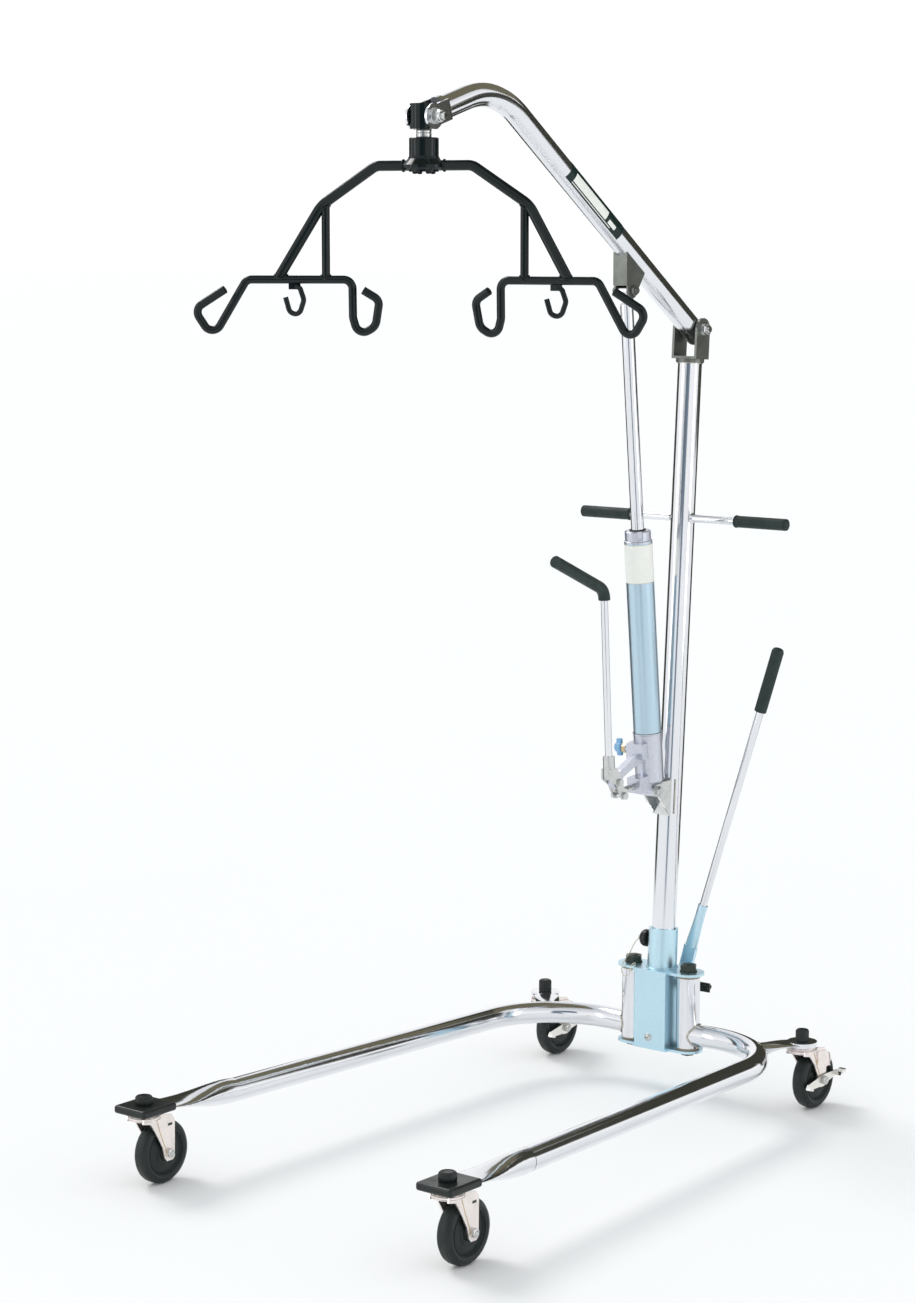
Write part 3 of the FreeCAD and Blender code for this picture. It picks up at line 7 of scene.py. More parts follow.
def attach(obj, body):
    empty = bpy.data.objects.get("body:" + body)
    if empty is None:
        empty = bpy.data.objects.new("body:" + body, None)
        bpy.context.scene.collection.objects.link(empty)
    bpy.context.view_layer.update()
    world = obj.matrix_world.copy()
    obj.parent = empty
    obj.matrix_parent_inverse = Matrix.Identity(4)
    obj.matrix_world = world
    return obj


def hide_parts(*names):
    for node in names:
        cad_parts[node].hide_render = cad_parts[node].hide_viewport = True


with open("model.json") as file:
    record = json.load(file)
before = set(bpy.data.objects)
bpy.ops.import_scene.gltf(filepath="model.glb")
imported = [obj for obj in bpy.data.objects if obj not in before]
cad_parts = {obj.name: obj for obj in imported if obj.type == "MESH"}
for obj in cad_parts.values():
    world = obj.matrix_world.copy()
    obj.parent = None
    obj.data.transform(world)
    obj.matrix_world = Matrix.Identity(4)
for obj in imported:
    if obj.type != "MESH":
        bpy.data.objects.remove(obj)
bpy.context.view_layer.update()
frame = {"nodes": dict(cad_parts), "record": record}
NODES = frame["nodes"]
RECORD = frame["record"]
JOINTS = {joint["name"]: joint for joint in RECORD["behaviour"]["joints"]}

MM = 0.001
SIDES = ((-1, "left"), (1, "right"))


def joint_at(name):
    return Vector(JOINTS[name]["pos_m"])


def frame_at(origin, *turns):
    """A local frame: its origin in metres, then turns given as (axis, degrees)."""
    matrix = Matrix.Translation(origin)
    for axis, degrees in turns:
        matrix = matrix @ Matrix.Rotation(math.radians(degrees), 4, axis)
    return matrix


# The mast's foot on the floor, found from the right leg's pivot, and the frames that hang on it.
PIVOT_X, PIVOT_Y, PIVOT_Z = 57.5, -3.0, 150.0
FOOT = joint_at("leg_spread_right") - Vector((PIVOT_X, PIVOT_Y, PIVOT_Z)) * MM
PLATE_TOP = 214.2
HANDLEBAR_HEIGHT = 777.5
CLEVIS_PIVOT_HEIGHT = 1098.5
MAST_LEAN, BOOM_RISE, BOOM_FALL, CRADLE_TURN = 3.63, 35.3, 17.0, 20.0
WORLD = frame_at(FOOT)
MAST = frame_at(FOOT + Vector((0, 0, PLATE_TOP)) * MM, ("X", -MAST_LEAN))
BOOM = frame_at(joint_at("boom_lift"), ("X", -BOOM_RISE))
TIP = frame_at(joint_at("hanger_tilt"), ("X", BOOM_FALL))
CRADLE = frame_at(joint_at("hanger_tilt"), ("Z", CRADLE_TURN))
ram_axis = JOINTS["ram_slide"]["axis"]
PUMP_LEAN = math.degrees(math.atan2(-ram_axis[1], ram_axis[2]))
PUMP = frame_at(joint_at("pump_tilt"), ("X", PUMP_LEAN))


def place(x, y, z):
    """A point given in millimetres from the mast's foot, in the model's frame in metres."""
    return WORLD @ (Vector((x, y, z)) * MM)


# ---------------------------------------------------------------- camera
CAMERA_SPOT = (2899.86, -4170.43, 1465.89)
CAMERA_TURN, CAMERA_DIP, CAMERA_LENS = 38.81, 7.88, 82.787


def make_camera():
    """The photograph's viewpoint, solved from it; no shift and no depth of field."""
    data = bpy.data.cameras.new("camera")
    data.sensor_fit = "VERTICAL"
    data.sensor_height = 36.0
    data.lens = CAMERA_LENS
    data.clip_start = 0.1
    data.clip_end = 200.0
    data.dof.use_dof = False
    camera = bpy.data.objects.new("camera", data)
    camera.location = place(*CAMERA_SPOT)
    camera.rotation_euler = (math.radians(90 - CAMERA_DIP), 0.0, math.radians(CAMERA_TURN))
    bpy.context.scene.collection.objects.link(camera)
    bpy.context.scene.camera = camera


# ---------------------------------------------------------------- materials
def surface(name, colour, metallic, roughness, vary=0.06, rough_vary=0.05, scale=30.0, bump=0.02,
            bump_scale=600.0, specular=0.5):
    """A procedural finish: patchy colour and roughness, and a fine grain in the normal."""
    mat = bpy.data.materials.new(name)
    mat.use_nodes = True
    tree = mat.node_tree
    shader = tree.nodes["Principled BSDF"]
    shader.inputs["Metallic"].default_value = metallic
    shader.inputs["Specular IOR Level"].default_value = specular
    coords = tree.nodes.new("ShaderNodeTexCoord")

    def noise(noise_scale, detail):
        cloud = tree.nodes.new("ShaderNodeTexNoise")
        cloud.inputs["Scale"].default_value = noise_scale
        cloud.inputs["Detail"].default_value = detail
        tree.links.new(coords.outputs["Object"], cloud.inputs["Vector"])
        return cloud.outputs["Fac"]

    tint = tree.nodes.new("ShaderNodeValToRGB")
    low = [c * (1 - vary) for c in colour]
    high = [min(1.0, c * (1 + vary)) for c in colour]
    tint.color_ramp.elements[0].position = 0.3
    tint.color_ramp.elements[0].color = (*low, 1)
    tint.color_ramp.elements[1].position = 0.7
    tint.color_ramp.elements[1].color = (*high, 1)
    tree.links.new(noise(scale, 5.0), tint.inputs[0])
    tree.links.new(tint.outputs[0], shader.inputs["Base Color"])
    span = tree.nodes.new("ShaderNodeMapRange")
    span.inputs["From Min"].default_value = 0.3
    span.inputs["From Max"].default_value = 0.7
    span.inputs["To Min"].default_value = max(0.0, roughness - rough_vary)
    span.inputs["To Max"].default_value = roughness + rough_vary
    tree.links.new(noise(scale * 0.4, 3.0), span.inputs["Value"])
    tree.links.new(span.outputs[0], shader.inputs["Roughness"])
    relief = tree.nodes.new("ShaderNodeBump")
    relief.inputs["Strength"].default_value = bump
    relief.inputs["Distance"].default_value = 0.001
    tree.links.new(noise(bump_scale, 2.0), relief.inputs["Height"])
    tree.links.new(relief.outputs[0], shader.inputs["Normal"])
    return mat


def glow(name, level):
    """The plain material of a card that only reflections see, bright or dark."""
    mat = bpy.data.materials.new(name)
    mat.use_nodes = True
    shader = mat.node_tree.nodes["Principled BSDF"]
    shader.inputs["Base Color"].default_value = (0, 0, 0, 1)
    shader.inputs["Specular IOR Level"].default_value = 0.0
    shader.inputs["Emission Color"].default_value = (*level, 1)
    shader.inputs["Emission Strength"].default_value = 1.0
    return mat


def floor_material():
    mat = bpy.data.materials.new("pale_floor")
    mat.use_nodes = True
    shader = mat.node_tree.nodes["Principled BSDF"]
    shader.inputs["Base Color"].default_value = (0.93, 0.935, 0.93, 1)
    shader.inputs["Roughness"].default_value = 0.9
    shader.inputs["Specular IOR Level"].default_value = 0.1
    return mat


MATERIALS = {
    "chrome_tube": surface("chrome_tube", (0.80, 0.81, 0.84), 1.0, 0.12, 0.02, 0.02, 12, 0.0, 50),
    "zinc_plate": surface("zinc_plate", (0.56, 0.77, 0.87), 0.9, 0.32, 0.045, 0.04, 420, 0.04, 900),
    "satin_blue": surface("satin_blue", (0.50, 0.65, 0.75), 0.95, 0.30, 0.025, 0.02, 420, 0.012, 900),
    "zinc_hardware": surface("zinc_hardware", (0.60, 0.61, 0.60), 1.0, 0.22, 0.08, 0.07, 90, 0.03, 800),
    "steel_bracket": surface("steel_bracket", (0.17, 0.18, 0.16), 0.7, 0.34, 0.12, 0.06, 60, 0.03, 600),
    "cast_alloy": surface("cast_alloy", (0.60, 0.62, 0.69), 0.9, 0.32, 0.05, 0.05, 160, 0.06, 420),
    "black_fastener": surface("black_fastener", (0.030, 0.040, 0.030), 0.3, 0.34, 0.25, 0.08, 90, 0.06, 700),
    "black_enamel": surface("black_enamel", (0.004, 0.009, 0.010), 0.0, 0.13, 0.2, 0.04, 40, 0.02, 300,
                            specular=0.30),
    "vinyl_grip": surface("vinyl_grip", (0.018, 0.034, 0.030), 0.0, 0.52, 0.18, 0.08, 70, 0.12, 900,
                          specular=0.3),
    "black_plastic": surface("black_plastic", (0.012, 0.016, 0.015), 0.0, 0.32, 0.2, 0.08, 60, 0.06, 700,
                             specular=0.35),
    "blue_knob": surface("blue_knob", (0.22, 0.46, 0.72), 0.0, 0.28, 0.12, 0.05, 60, 0.05, 500),
    "bushing_nylon": surface("bushing_nylon", (0.40, 0.31, 0.22), 0.0, 0.5, 0.12, 0.05, 60, 0.05, 500),
    "bead_chain": surface("bead_chain", (0.74, 0.70, 0.58), 1.0, 0.16, 0.05, 0.05, 200, 0.02, 900),
    "caster_steel": surface("caster_steel", (0.86, 0.79, 0.76), 0.9, 0.26, 0.06, 0.06, 60, 0.05, 700),
    "wheel_rubber": surface("wheel_rubber", (0.012, 0.018, 0.017), 0.0, 0.44, 0.25, 0.08, 60, 0.10, 800,
                            specular=0.35),
    "brake_steel": surface("brake_steel", (0.80, 0.78, 0.74), 1.0, 0.22, 0.06, 0.05, 60, 0.04, 700),
    "weld_metal": surface("weld_metal", (0.50, 0.47, 0.42), 1.0, 0.30, 0.2, 0.1, 350, 0.12, 900),
    "label_dark": surface("label_dark", (0.006, 0.022, 0.019), 0.0, 0.30, 0.15, 0.05, 60, 0.03, 500,
                          specular=0.3),
    "label_pale": surface("label_pale", (0.88, 0.90, 0.85), 0.0, 0.42, 0.03, 0.05, 60, 0.03, 500),
    "brass": surface("brass", (0.62, 0.46, 0.26), 1.0, 0.30, 0.12, 0.07, 120, 0.05, 700),
    "dark_rubber": surface("dark_rubber", (0.010, 0.012, 0.013), 0.0, 0.55, 0.2, 0.08, 90, 0.08, 900),
}


def dress(obj, mat):
    obj.data.materials.clear()
    obj.data.materials.append(mat)


OWN_LOOKS = {"pump_cylinder": "satin_blue", "lever_mount": "black_fastener"}


def finish_nodes():
    for part in RECORD["subparts"]:
        look = OWN_LOOKS.get(part["node"], part["material_slot"])
        dress(NODES[part["node"]], MATERIALS[look])


# ---------------------------------------------------------------- mesh helpers
def piece(name, body, slot, where, verts, faces, look=None, crease=38.0):
    """A mesh piece: vertices in the local frame's millimetres, riding on a body."""
    mesh = bpy.data.meshes.new(name)
    mesh.from_pydata([where @ (Vector(v) * MM) for v in verts], [], faces)
    mesh.validate()
    for polygon in mesh.polygons:
        polygon.use_smooth = True
    mesh.set_sharp_from_angle(angle=math.radians(crease))
    obj = bpy.data.objects.new(name, mesh)
    bpy.context.scene.collection.objects.link(obj)
    dress(obj, MATERIALS[look or slot])
    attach(obj, body)
    return obj


def joined(*shapes):
    """Several (vertices, faces) pairs as one."""
    verts, faces = [], []
    for more_verts, more_faces in shapes:
        start = len(verts)
        verts.extend(more_verts)
        faces.extend(tuple(start + i for i in face) for face in more_faces)
    return verts, faces


def moved(shape, shift=(0, 0, 0), axis="Z"):
    """A shape with its own Z turned to an axis, then shifted."""
    turns = {
        "Z": Matrix.Identity(3),
        "X": Matrix.Rotation(math.radians(90), 3, "Y"),
        "-X": Matrix.Rotation(math.radians(-90), 3, "Y"),
        "Y": Matrix.Rotation(math.radians(-90), 3, "X"),
        "-Y": Matrix.Rotation(math.radians(90), 3, "X"),
    }
    verts, faces = shape
    return [turns[axis] @ Vector(v) + Vector(shift) for v in verts], faces


def lathe(profile, steps=48, wobble=None):
    """A closed (radius, height) profile turned about Z; wobble(angle) adds to the radius."""
    verts, faces = [], []
    count = len(profile)
    for i in range(steps):
        angle = 2 * math.pi * i / steps
        extra = wobble(angle) if wobble else 0.0
        for radius, height in profile:
            reach = radius + extra
            verts.append(Vector((reach * math.cos(angle), reach * math.sin(angle), height)))
    for i in range(steps):
        for j in range(count):
            a, b = i * count + j, i * count + (j + 1) % count
            c, d = (i + 1) % steps * count + (j + 1) % count, (i + 1) % steps * count + j
            faces.append((a, d, c, b))
    return verts, faces


def ring(radius, thick, height=0.0, sides=10, steps=48):
    """A plain torus of round section about Z."""
    profile = [
        (radius + thick * math.cos(2 * math.pi * k / sides),
         height + thick * math.sin(2 * math.pi * k / sides))
        for k in range(sides)
    ]
    return lathe(profile, steps)


def tube(points, radii, closed=False, sides=8):
    """A round bar through points, with a radius at each; ends are closed by fans."""
    verts, faces = [], []
    count = len(points)
    points = [Vector(p) for p in points]
    side_way = None
    for i, point in enumerate(points):
        before = points[(i - 1) % count] if closed or i else point
        after = points[(i + 1) % count] if closed or i < count - 1 else point
        along = (after - before).normalized()
        if side_way is None:
            side_way = along.orthogonal()
        side_way = (side_way - along * side_way.dot(along)).normalized()
        other = along.cross(side_way)
        for k in range(sides):
            turn = 2 * math.pi * k / sides
            verts.append(point + (side_way * math.cos(turn) + other * math.sin(turn)) * radii[i])
    for i in range(count if closed else count - 1):
        following = (i + 1) % count
        for k in range(sides):
            a, b = i * sides + k, i * sides + (k + 1) % sides
            c, d = following * sides + (k + 1) % sides, following * sides + k
            faces.append((a, b, c, d))
    if not closed:
        for i, flip in ((0, True), (count - 1, False)):
            rim = [i * sides + k for k in range(sides)]
            faces.append(tuple(reversed(rim)) if flip else tuple(rim))
    return verts, faces


def weld(points, thick, closed=True, pitch=2.4):
    """A weld bead: a bar whose radius swells and dips like overlapping puddles."""
    points = [Vector(p) for p in points]
    travelled = [0.0]
    for i in range(1, len(points)):
        travelled.append(travelled[-1] + (points[i] - points[i - 1]).length)
    radii = [
        thick * (0.86 + 0.14 * abs(math.sin(math.pi * way / pitch)) + 0.05 * math.sin(way * 0.9))
        for way in travelled
    ]
    return tube(points, radii, closed, 10)


def circle_points(radius, height, steps=96):
    return [
        (radius * math.cos(2 * math.pi * i / steps), radius * math.sin(2 * math.pi * i / steps), height)
        for i in range(steps)
    ]


def hexagon(corner, low, high, bevel=0.8):
    """A hexagonal nut or head with its corners chamfered, about Z."""
    verts, faces = [], []
    chamfered = corner - bevel * 1.6
    levels = ((chamfered, low), (corner, low + bevel), (corner, high - bevel), (chamfered, high))
    for radius, height in levels:
        for k in range(6):
            turn = math.pi * k / 3
            verts.append(Vector((radius * math.cos(turn), radius * math.sin(turn), height)))
    for level in range(3):
        for k in range(6):
            a, b = level * 6 + k, level * 6 + (k + 1) % 6
            faces.append((a, b, b + 6, a + 6))
    faces.append((5, 4, 3, 2, 1, 0))
    faces.append((18, 19, 20, 21, 22, 23))
    return verts, faces


def patch(radius, thick, start, end, low, high, steps=24):
    """A thin curved sheet wrapped on a cylinder about Z, between two angles and two heights."""
    verts, faces = [], []
    for i in range(steps + 1):
        turn = math.radians(start + (end - start) * i / steps)
        for reach in (radius, radius + thick):
            for height in (low, high):
                verts.append(Vector((reach * math.cos(turn), reach * math.sin(turn), height)))
    for i in range(steps):
        a = i * 4
        faces += [
            (a + 2, a + 6, a + 7, a + 3), (a, a + 1, a + 5, a + 4),
            (a, a + 4, a + 6, a + 2), (a + 1, a + 3, a + 7, a + 5),
        ]
    last = steps * 4
    faces += [(0, 2, 3, 1), (last, last + 1, last + 3, last + 2)]
    return verts, faces


def slab(outline, low, high):
    """A flat plate: an outline of (x, y) points raised from low to high in Z."""
    count = len(outline)
    verts = [Vector((x, y, z)) for z in (low, high) for x, y in outline]
    faces = [(i, (i + 1) % count, (i + 1) % count + count, i + count) for i in range(count)]
    faces.append(tuple(reversed(range(count))))
    faces.append(tuple(range(count, 2 * count)))
    return verts, faces


def thread(radius, low, high, pitch=1.6):
    """The ridged end of a bolt, about Z, closed at both ends by small chamfers."""
    profile = [(0.001, low), (radius - 0.5, low)]
    height = low
    while height + pitch < high:
        profile += [
            (radius - 0.5, height + 0.2), (radius, height + pitch * 0.5),
            (radius - 0.5, height + pitch * 0.95),
        ]
        height += pitch
    profile += [(radius - 1.0, high), (0.001, high)]
    return lathe(profile, 32)


# ---------------------------------------------------------------- the knob's bead chain
CHAIN_ROUTE = [
    (-50.0, 3.0, 257.5), (-55.5, 1.5, 252.0), (-58.0, -3.5, 244.5), (-58.0, -10.0, 237.0),
    (-58.0, -17.5, 230.0), (-59.5, -25.5, 223.0), (-60.5, -32.5, 215.5), (-60.0, -36.8, 207.5),
    (-57.5, -38.8, 200.8), (-52.5, -39.6, 196.6), (-46.2, -39.8, 196.8), (-41.4, -39.6, 201.2),
    (-39.4, -38.8, 207.8), (-39.0, -36.6, 214.6), (-39.5, -31.6, 218.8), (-40.6, -25.0, 218.3),
]
BEAD_DIAMETER = 0.0024


def spline_points(route):
    """Points along the smooth curve that the route steers."""
    curve = bpy.data.curves.new("route", "CURVE")
    curve.dimensions = "3D"
    spline = curve.splines.new("NURBS")
    spline.points.add(len(route) - 1)
    for point, spot in zip(spline.points, route):
        point.co = (*place(*spot), 1.0)
    spline.order_u = 3
    spline.use_endpoint_u = True
    spline.resolution_u = 16
    holder = bpy.data.objects.new("route", curve)
    bpy.context.scene.collection.objects.link(holder)
    bpy.context.view_layer.update()
    mesh = bpy.data.meshes.new_from_object(holder)
    points = [v.co.copy() for v in mesh.vertices]
    bpy.data.objects.remove(holder)
    bpy.data.curves.remove(curve)
    bpy.data.meshes.remove(mesh)
    return points


def evenly(points, step):
    """Spots at an even spacing along a line, each with its direction."""
    spots = []
    along = 0.0
    wanted = step / 2
    for a, b in zip(points, points[1:]):
        length = (b - a).length
        while along + length >= wanted:
            spots.append((a.lerp(b, (wanted - along) / length), (b - a).normalized()))
            wanted += step
        along += length
    return spots


def make_chain():
    """A thin wire with a bead every 3.1 mm, and the eyelets at both of its ends."""
    points = spline_points(CHAIN_ROUTE)
    local = [(p / MM) for p in points]
    radius = BEAD_DIAMETER / MM / 2
    ball = lathe([
        (0.25, -radius), (radius * 0.5, -radius * 0.87), (radius * 0.87, -radius * 0.5), (radius, 0),
        (radius * 0.87, radius * 0.5), (radius * 0.5, radius * 0.87), (0.25, radius),
    ], 14)
    shapes = [tube(local, [0.38] * len(local), False, 8)]
    for spot, way in evenly(local, 3.1):
        turn = way.to_track_quat("Z", "Y").to_matrix()
        shapes.append(([turn @ v + spot for v in ball[0]], ball[1]))
    verts, faces = joined(*shapes)
    chain = piece("bead_chain", "base", "bead_chain", Matrix.Identity(4), verts, faces)
    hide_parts("knob_chain")
    plate_eye = joined(
        moved(ring(2.3, 0.55, 0, 8, 24), (-40.6, -24.2, 217.6), "X"),
        moved(lathe([(0.1, 0), (2.6, 0), (2.6, 0.8), (1.0, 1.6), (0.1, 1.6)], 20),
              (-40.6, -24.2, PLATE_TOP)),
    )
    piece("chain_eyelet_plate", "base", "bead_chain", WORLD, *plate_eye)
    knob_y, knob_z = 2.85, 259.1
    knob_eye = joined(
        moved(lathe([(0.1, 0), (2.0, 0), (2.0, 1.0), (0.9, 1.6), (0.9, 3.4), (0.1, 3.4)], 20),
              (-45.0, knob_y, knob_z), "-X"),
        moved(ring(1.9, 0.55, 0, 8, 24), (-50.0, knob_y, knob_z), "Y"),
    )
    piece("chain_eyelet_knob", "clamp_knob", "bead_chain", WORLD, *knob_eye)


# ---------------------------------------------------------------- base and legs
LEG_RADIUS, SLEEVE_RADIUS, LEG_HEIGHT = 19.05, 20.5, 104.0
LEG_BEND = 155.0
CORNER, FRONT = (260.0, 21.0), (302.9, -963.9)
REAR = (271.8, 24.7)


def make_leg_welds(side, name):
    """Beads round the leg tube at its sleeve, and round the rear caster's arm at the leg."""
    start = Vector((side * PIVOT_X, PIVOT_Y, 0))
    corner = Vector((side * CORNER[0], CORNER[1], 0))
    way = (corner - start).normalized()
    across = Vector((-way.y, way.x, 0))
    points = []
    for i in range(120):
        turn = 2 * math.pi * i / 120
        sideways = LEG_RADIUS * math.sin(turn)
        reach = math.sqrt((SLEEVE_RADIUS + 0.5) ** 2 - sideways ** 2)
        height = LEG_HEIGHT + LEG_RADIUS * math.cos(turn)
        points.append(start + way * reach + across * sideways + Vector((0, 0, height)))
    piece("leg_weld_" + name, "leg_" + name, "chrome_tube", WORLD, *weld(points, 2.0), "weld_metal")

    ahead = (Vector((side * FRONT[0], FRONT[1], 0)) - corner).normalized()
    before = -way
    half = (math.pi - before.angle(ahead)) / 2
    centre = corner + (before + ahead).normalized() * (LEG_BEND / math.cos(half))
    out = Vector((side * REAR[0], REAR[1], 0)) - centre
    out.normalize()
    across = Vector((-out.y, out.x, 0))
    points = []
    for i in range(96):
        turn = 2 * math.pi * i / 96
        wide = 18.6 * math.cos(turn)
        z = 111.0 + 10.8 * math.sin(turn)
        depth = LEG_BEND + math.sqrt(max(0.0, LEG_RADIUS ** 2 - (z - LEG_HEIGHT) ** 2))
        reach = math.sqrt(depth ** 2 - wide ** 2)
        points.append(centre + out * reach + across * wide + Vector((0, 0, z)))
    piece("rear_arm_weld_" + name, "leg_" + name, "chrome_tube", WORLD, *weld(points, 1.5), "weld_metal")


def make_base_details():
    """The socket's weld, the channel's screw with a black bar of painted shade for its slot, the nuts in the
    caps and the knob's face.
    """
    piece("socket_weld", "base", "zinc_plate", WORLD, *weld(circle_points(26.2, PLATE_TOP + 0.3), 1.5),
          "zinc_plate")
    screw = lathe([
        (0.1, 0), (7.2, 0), (7.2, 1.0), (6.2, 1.5), (5.8, 1.5), (5.6, 2.4), (4.2, 3.6), (2.0, 4.3),
        (0.1, 4.5),
    ], 40)
    piece("channel_screw", "base", "zinc_plate", WORLD, *moved(screw, (-3, -36.0, 95), "-Y"), "zinc_hardware")
    # The screw head's slot is a raised black bar: a painted shade standing in for the recess.
    slot = slab([(-3.6, -0.55), (3.6, -0.55), (3.6, 0.55), (-3.6, 0.55)], 3.2, 4.7)
    piece("channel_screw_slot_shade", "base", "zinc_plate", WORLD, *moved(slot, (-3, -36.0, 95), "-Y"),
          "black_fastener")
    for side, name in SIDES:
        nut_top = PLATE_TOP + 12.5
        shapes = [
            moved(lathe([(0.1, 0), (7.4, 0), (7.4, 4.2), (5.8, 5.4), (0.1, 5.4)], 32),
                  (side * PIVOT_X, PIVOT_Y, nut_top - 4.4)),
            moved(ring(9.6, 0.7, nut_top - 0.1, 8, 40), (side * PIVOT_X, PIVOT_Y, 0)),
        ]
        piece("pivot_nut_top_" + name, "base", "black_fastener", WORLD, *joined(*shapes))
    knob_face = joined(
        ring(12.6, 0.5, 12.0, 8, 40), ring(8.6, 0.45, 18.1, 8, 40),
        lathe([(0.1, 17.6), (6.0, 17.6), (6.0, 19.1), (5.2, 19.5), (0.1, 19.5)], 32),
    )
    piece("clamp_knob_face", "clamp_knob", "black_plastic", MAST, *moved(knob_face, (-26.0, 0, 45.0), "-X"))


CAPS = (
    ("front", FRONT, 134.0, 13.0, 13.0, 28),
    ("rear", REAR, 122.7, 10.5, 20.0, 22),
)


def make_caps(side, name):
    """Ribbed black caps over the caster stems."""
    for end, (x, y), low, radius, height, ribs in CAPS:
        profile = [
            (radius - 3.0, 0.6), (radius + 0.1, 0.6), (radius + 0.35, 1.6), (radius + 0.35, height - 2.4),
            (radius - 1.6, height + 0.2), (radius - 3.0, height + 0.45),
        ]

        def ripple(angle, ribs=ribs):
            return 0.42 * max(0.0, math.cos(ribs * angle)) ** 2

        shapes = [
            moved(lathe(profile, ribs * 8, ripple), (side * x, y, low)),
            moved(ring(radius - 4.6, 0.6, height + 0.1, 8, 36), (side * x, y, low)),
        ]
        piece("cap_%s_%s" % (end, name), "leg_" + name, "black_plastic", WORLD, *joined(*shapes))


# ---------------------------------------------------------------- casters
CHEEK_FACE, TRAIL, AXLE = 18.6, 36.0, 50.8
RACE_LOW = {"front": 110.7, "rear": 104.4}


def make_caster_details(name, end):
    """Raceway rings, folded edges with a painted shade along each fold, slots drawn as black plates of
    painted shade, axle nuts and the rings moulded in the wheel.
    """
    label = "%s_%s" % (end, name)
    centre = joint_at("swivel_" + label)
    where = frame_at(Vector((centre.x, centre.y, 0)))
    low = RACE_LOW[end]
    bearing = joined(
        ring(23.2, 0.9, low + 5.9, 10, 56), ring(25.1, 0.7, low + 0.9, 8, 56),
        ring(20.4, 0.6, low + 9.2, 8, 48),
    )
    piece("caster_bearing_" + label, "fork_" + label, "caster_steel", where, *bearing)
    crease_shade_lines, slot_shade_plates = [], []
    for cheek in (-1, 1):
        face = cheek * CHEEK_FACE
        # The fold line is a thin ridge in brown brass: a painted shade along the fork's crease.
        crease_shade_lines.append(tube([(face, 9, low - 3), (face, 17, 84), (face, 27, 60), (face, 29.5, 50)], [0.7] * 4))
        # Each slot is a thin black plate on the cheek: a painted shade standing in for the dark opening.
        slot_shade_plates.append(moved(slab([(-2.0, -4.5), (2.0, -4.5), (2.0, 4.5), (-2.0, 4.5)], -0.2, 0.25),
                           (face, 38, low - 14), "X" if cheek > 0 else "-X"))
    piece("fork_fold_shade_" + label, "fork_" + label, "caster_steel", where, *joined(*crease_shade_lines), "brass")
    if end == "front":
        piece("fork_slot_shade_" + label, "fork_" + label, "caster_steel", where, *joined(*slot_shade_plates), "black_fastener")
    nuts = []
    for way, axis in ((1, "X"), (-1, "-X")):
        gap = CHEEK_FACE + (3.4 if end == "rear" and way > 0 else 0.0)
        nuts.append(moved(hexagon(7.7, 0.1, 5.6), (way * gap, TRAIL, AXLE), axis))
        nuts.append(moved(thread(4.0, 5.0, 7.4, 1.0), (way * gap, TRAIL, AXLE), axis))
    piece("axle_nuts_" + label, "fork_" + label, "zinc_hardware", where, *joined(*nuts))
    rims = []
    for way, axis in ((1, "X"), (-1, "-X")):
        rims.append(moved(joined(
            ring(36.2, 0.7, 12.6, 8, 72), ring(20.5, 0.8, 10.9, 8, 56), ring(13.4, 0.6, 14.4, 8, 40),
        ), (0, TRAIL, AXLE), axis))
    tread = joined(ring(50.1, 0.55, 5.2, 8, 96), ring(50.1, 0.55, -5.2, 8, 96))
    tread = moved(tread, (0, TRAIL, AXLE), "X")
    piece("wheel_rings_" + label, "wheel_" + label, "wheel_rubber", where, *joined(tread, *rims))


def make_guard_teeth(name):
    """The toothed locking edge that stands beside a rear caster's fork."""
    centre = joint_at("swivel_rear_" + name)
    where = frame_at(Vector((centre.x, centre.y, 0)))
    shapes = []
    for i in range(6):
        z = 74.5 + i * 4.2
        shapes.append(moved(slab([(0, 0), (3.4, 0.6), (3.4, 2.2), (0, 2.8)], -1.2, 1.2),
                            (CHEEK_FACE + 1.2, 54.5 - 0.15 * i * i, z), "X"))
    piece("guard_teeth_" + name, "fork_rear_" + name, "caster_steel", where, *joined(*shapes))


# ---------------------------------------------------------------- mast, boom and pump
MAST_RADIUS = 20.65
BRACKET_EDGE = 17.6


def make_mast_details():
    """Welds of push bar, clevis and pump bracket, the pivot's thread and the grips' rims."""
    shapes = []
    for side, _ in SIDES:
        points = []
        for i in range(72):
            turn = 2 * math.pi * i / 72
            y, z = 7.6 * math.cos(turn), 7.6 * math.sin(turn)
            points.append((side * math.sqrt(MAST_RADIUS ** 2 - y * y), y, HANDLEBAR_HEIGHT + z))
        shapes.append(weld(points, 1.7))
    piece("handlebar_welds", "mast", "chrome_tube", MAST, *joined(*shapes), "weld_metal")
    top_weld = weld(circle_points(21.4, 1041.6), 1.3)
    piece("mast_top_weld", "mast", "steel_bracket", MAST, *top_weld, "weld_metal")
    lines = []
    for side, _ in SIDES:
        x = side * BRACKET_EDGE
        y = -math.sqrt(MAST_RADIUS ** 2 - BRACKET_EDGE ** 2)
        foot = (MAST.inverted() @ joint_at("pump_tilt")).z / MM
        lines.append(weld([(x, y - 0.5, foot - 44 + i) for i in range(61)], 1.8, False))
    piece("pump_bracket_welds", "mast", "zinc_hardware", MAST, *joined(*lines), "weld_metal")
    ends = joined(
        moved(thread(6.1, 8.0, 13.5), (25.3, 0, CLEVIS_PIVOT_HEIGHT), "X"),
        moved(ring(8.1, 0.7, 9.6, 8, 32), (25.3, 0, CLEVIS_PIVOT_HEIGHT), "X"),
    )
    piece("boom_pivot_thread", "mast", "zinc_hardware", MAST, *ends)
    rings = []
    for side, _ in SIDES:
        axis = "X" if side > 0 else "-X"
        rings.append(moved(joined(
            lathe([(6.8, -0.4), (10.3, -0.4), (10.7, 0.4), (10.7, 2.6), (10.3, 3.4), (6.8, 3.4)], 40),
            ring(9.4, 0.5, 100.2, 8, 36),
        ), (side * 109.0, 0, HANDLEBAR_HEIGHT), axis))
    piece("handlebar_grip_rims", "mast", "vinyl_grip", MAST, *joined(*rings))


BOOM_RADIUS = 19.05


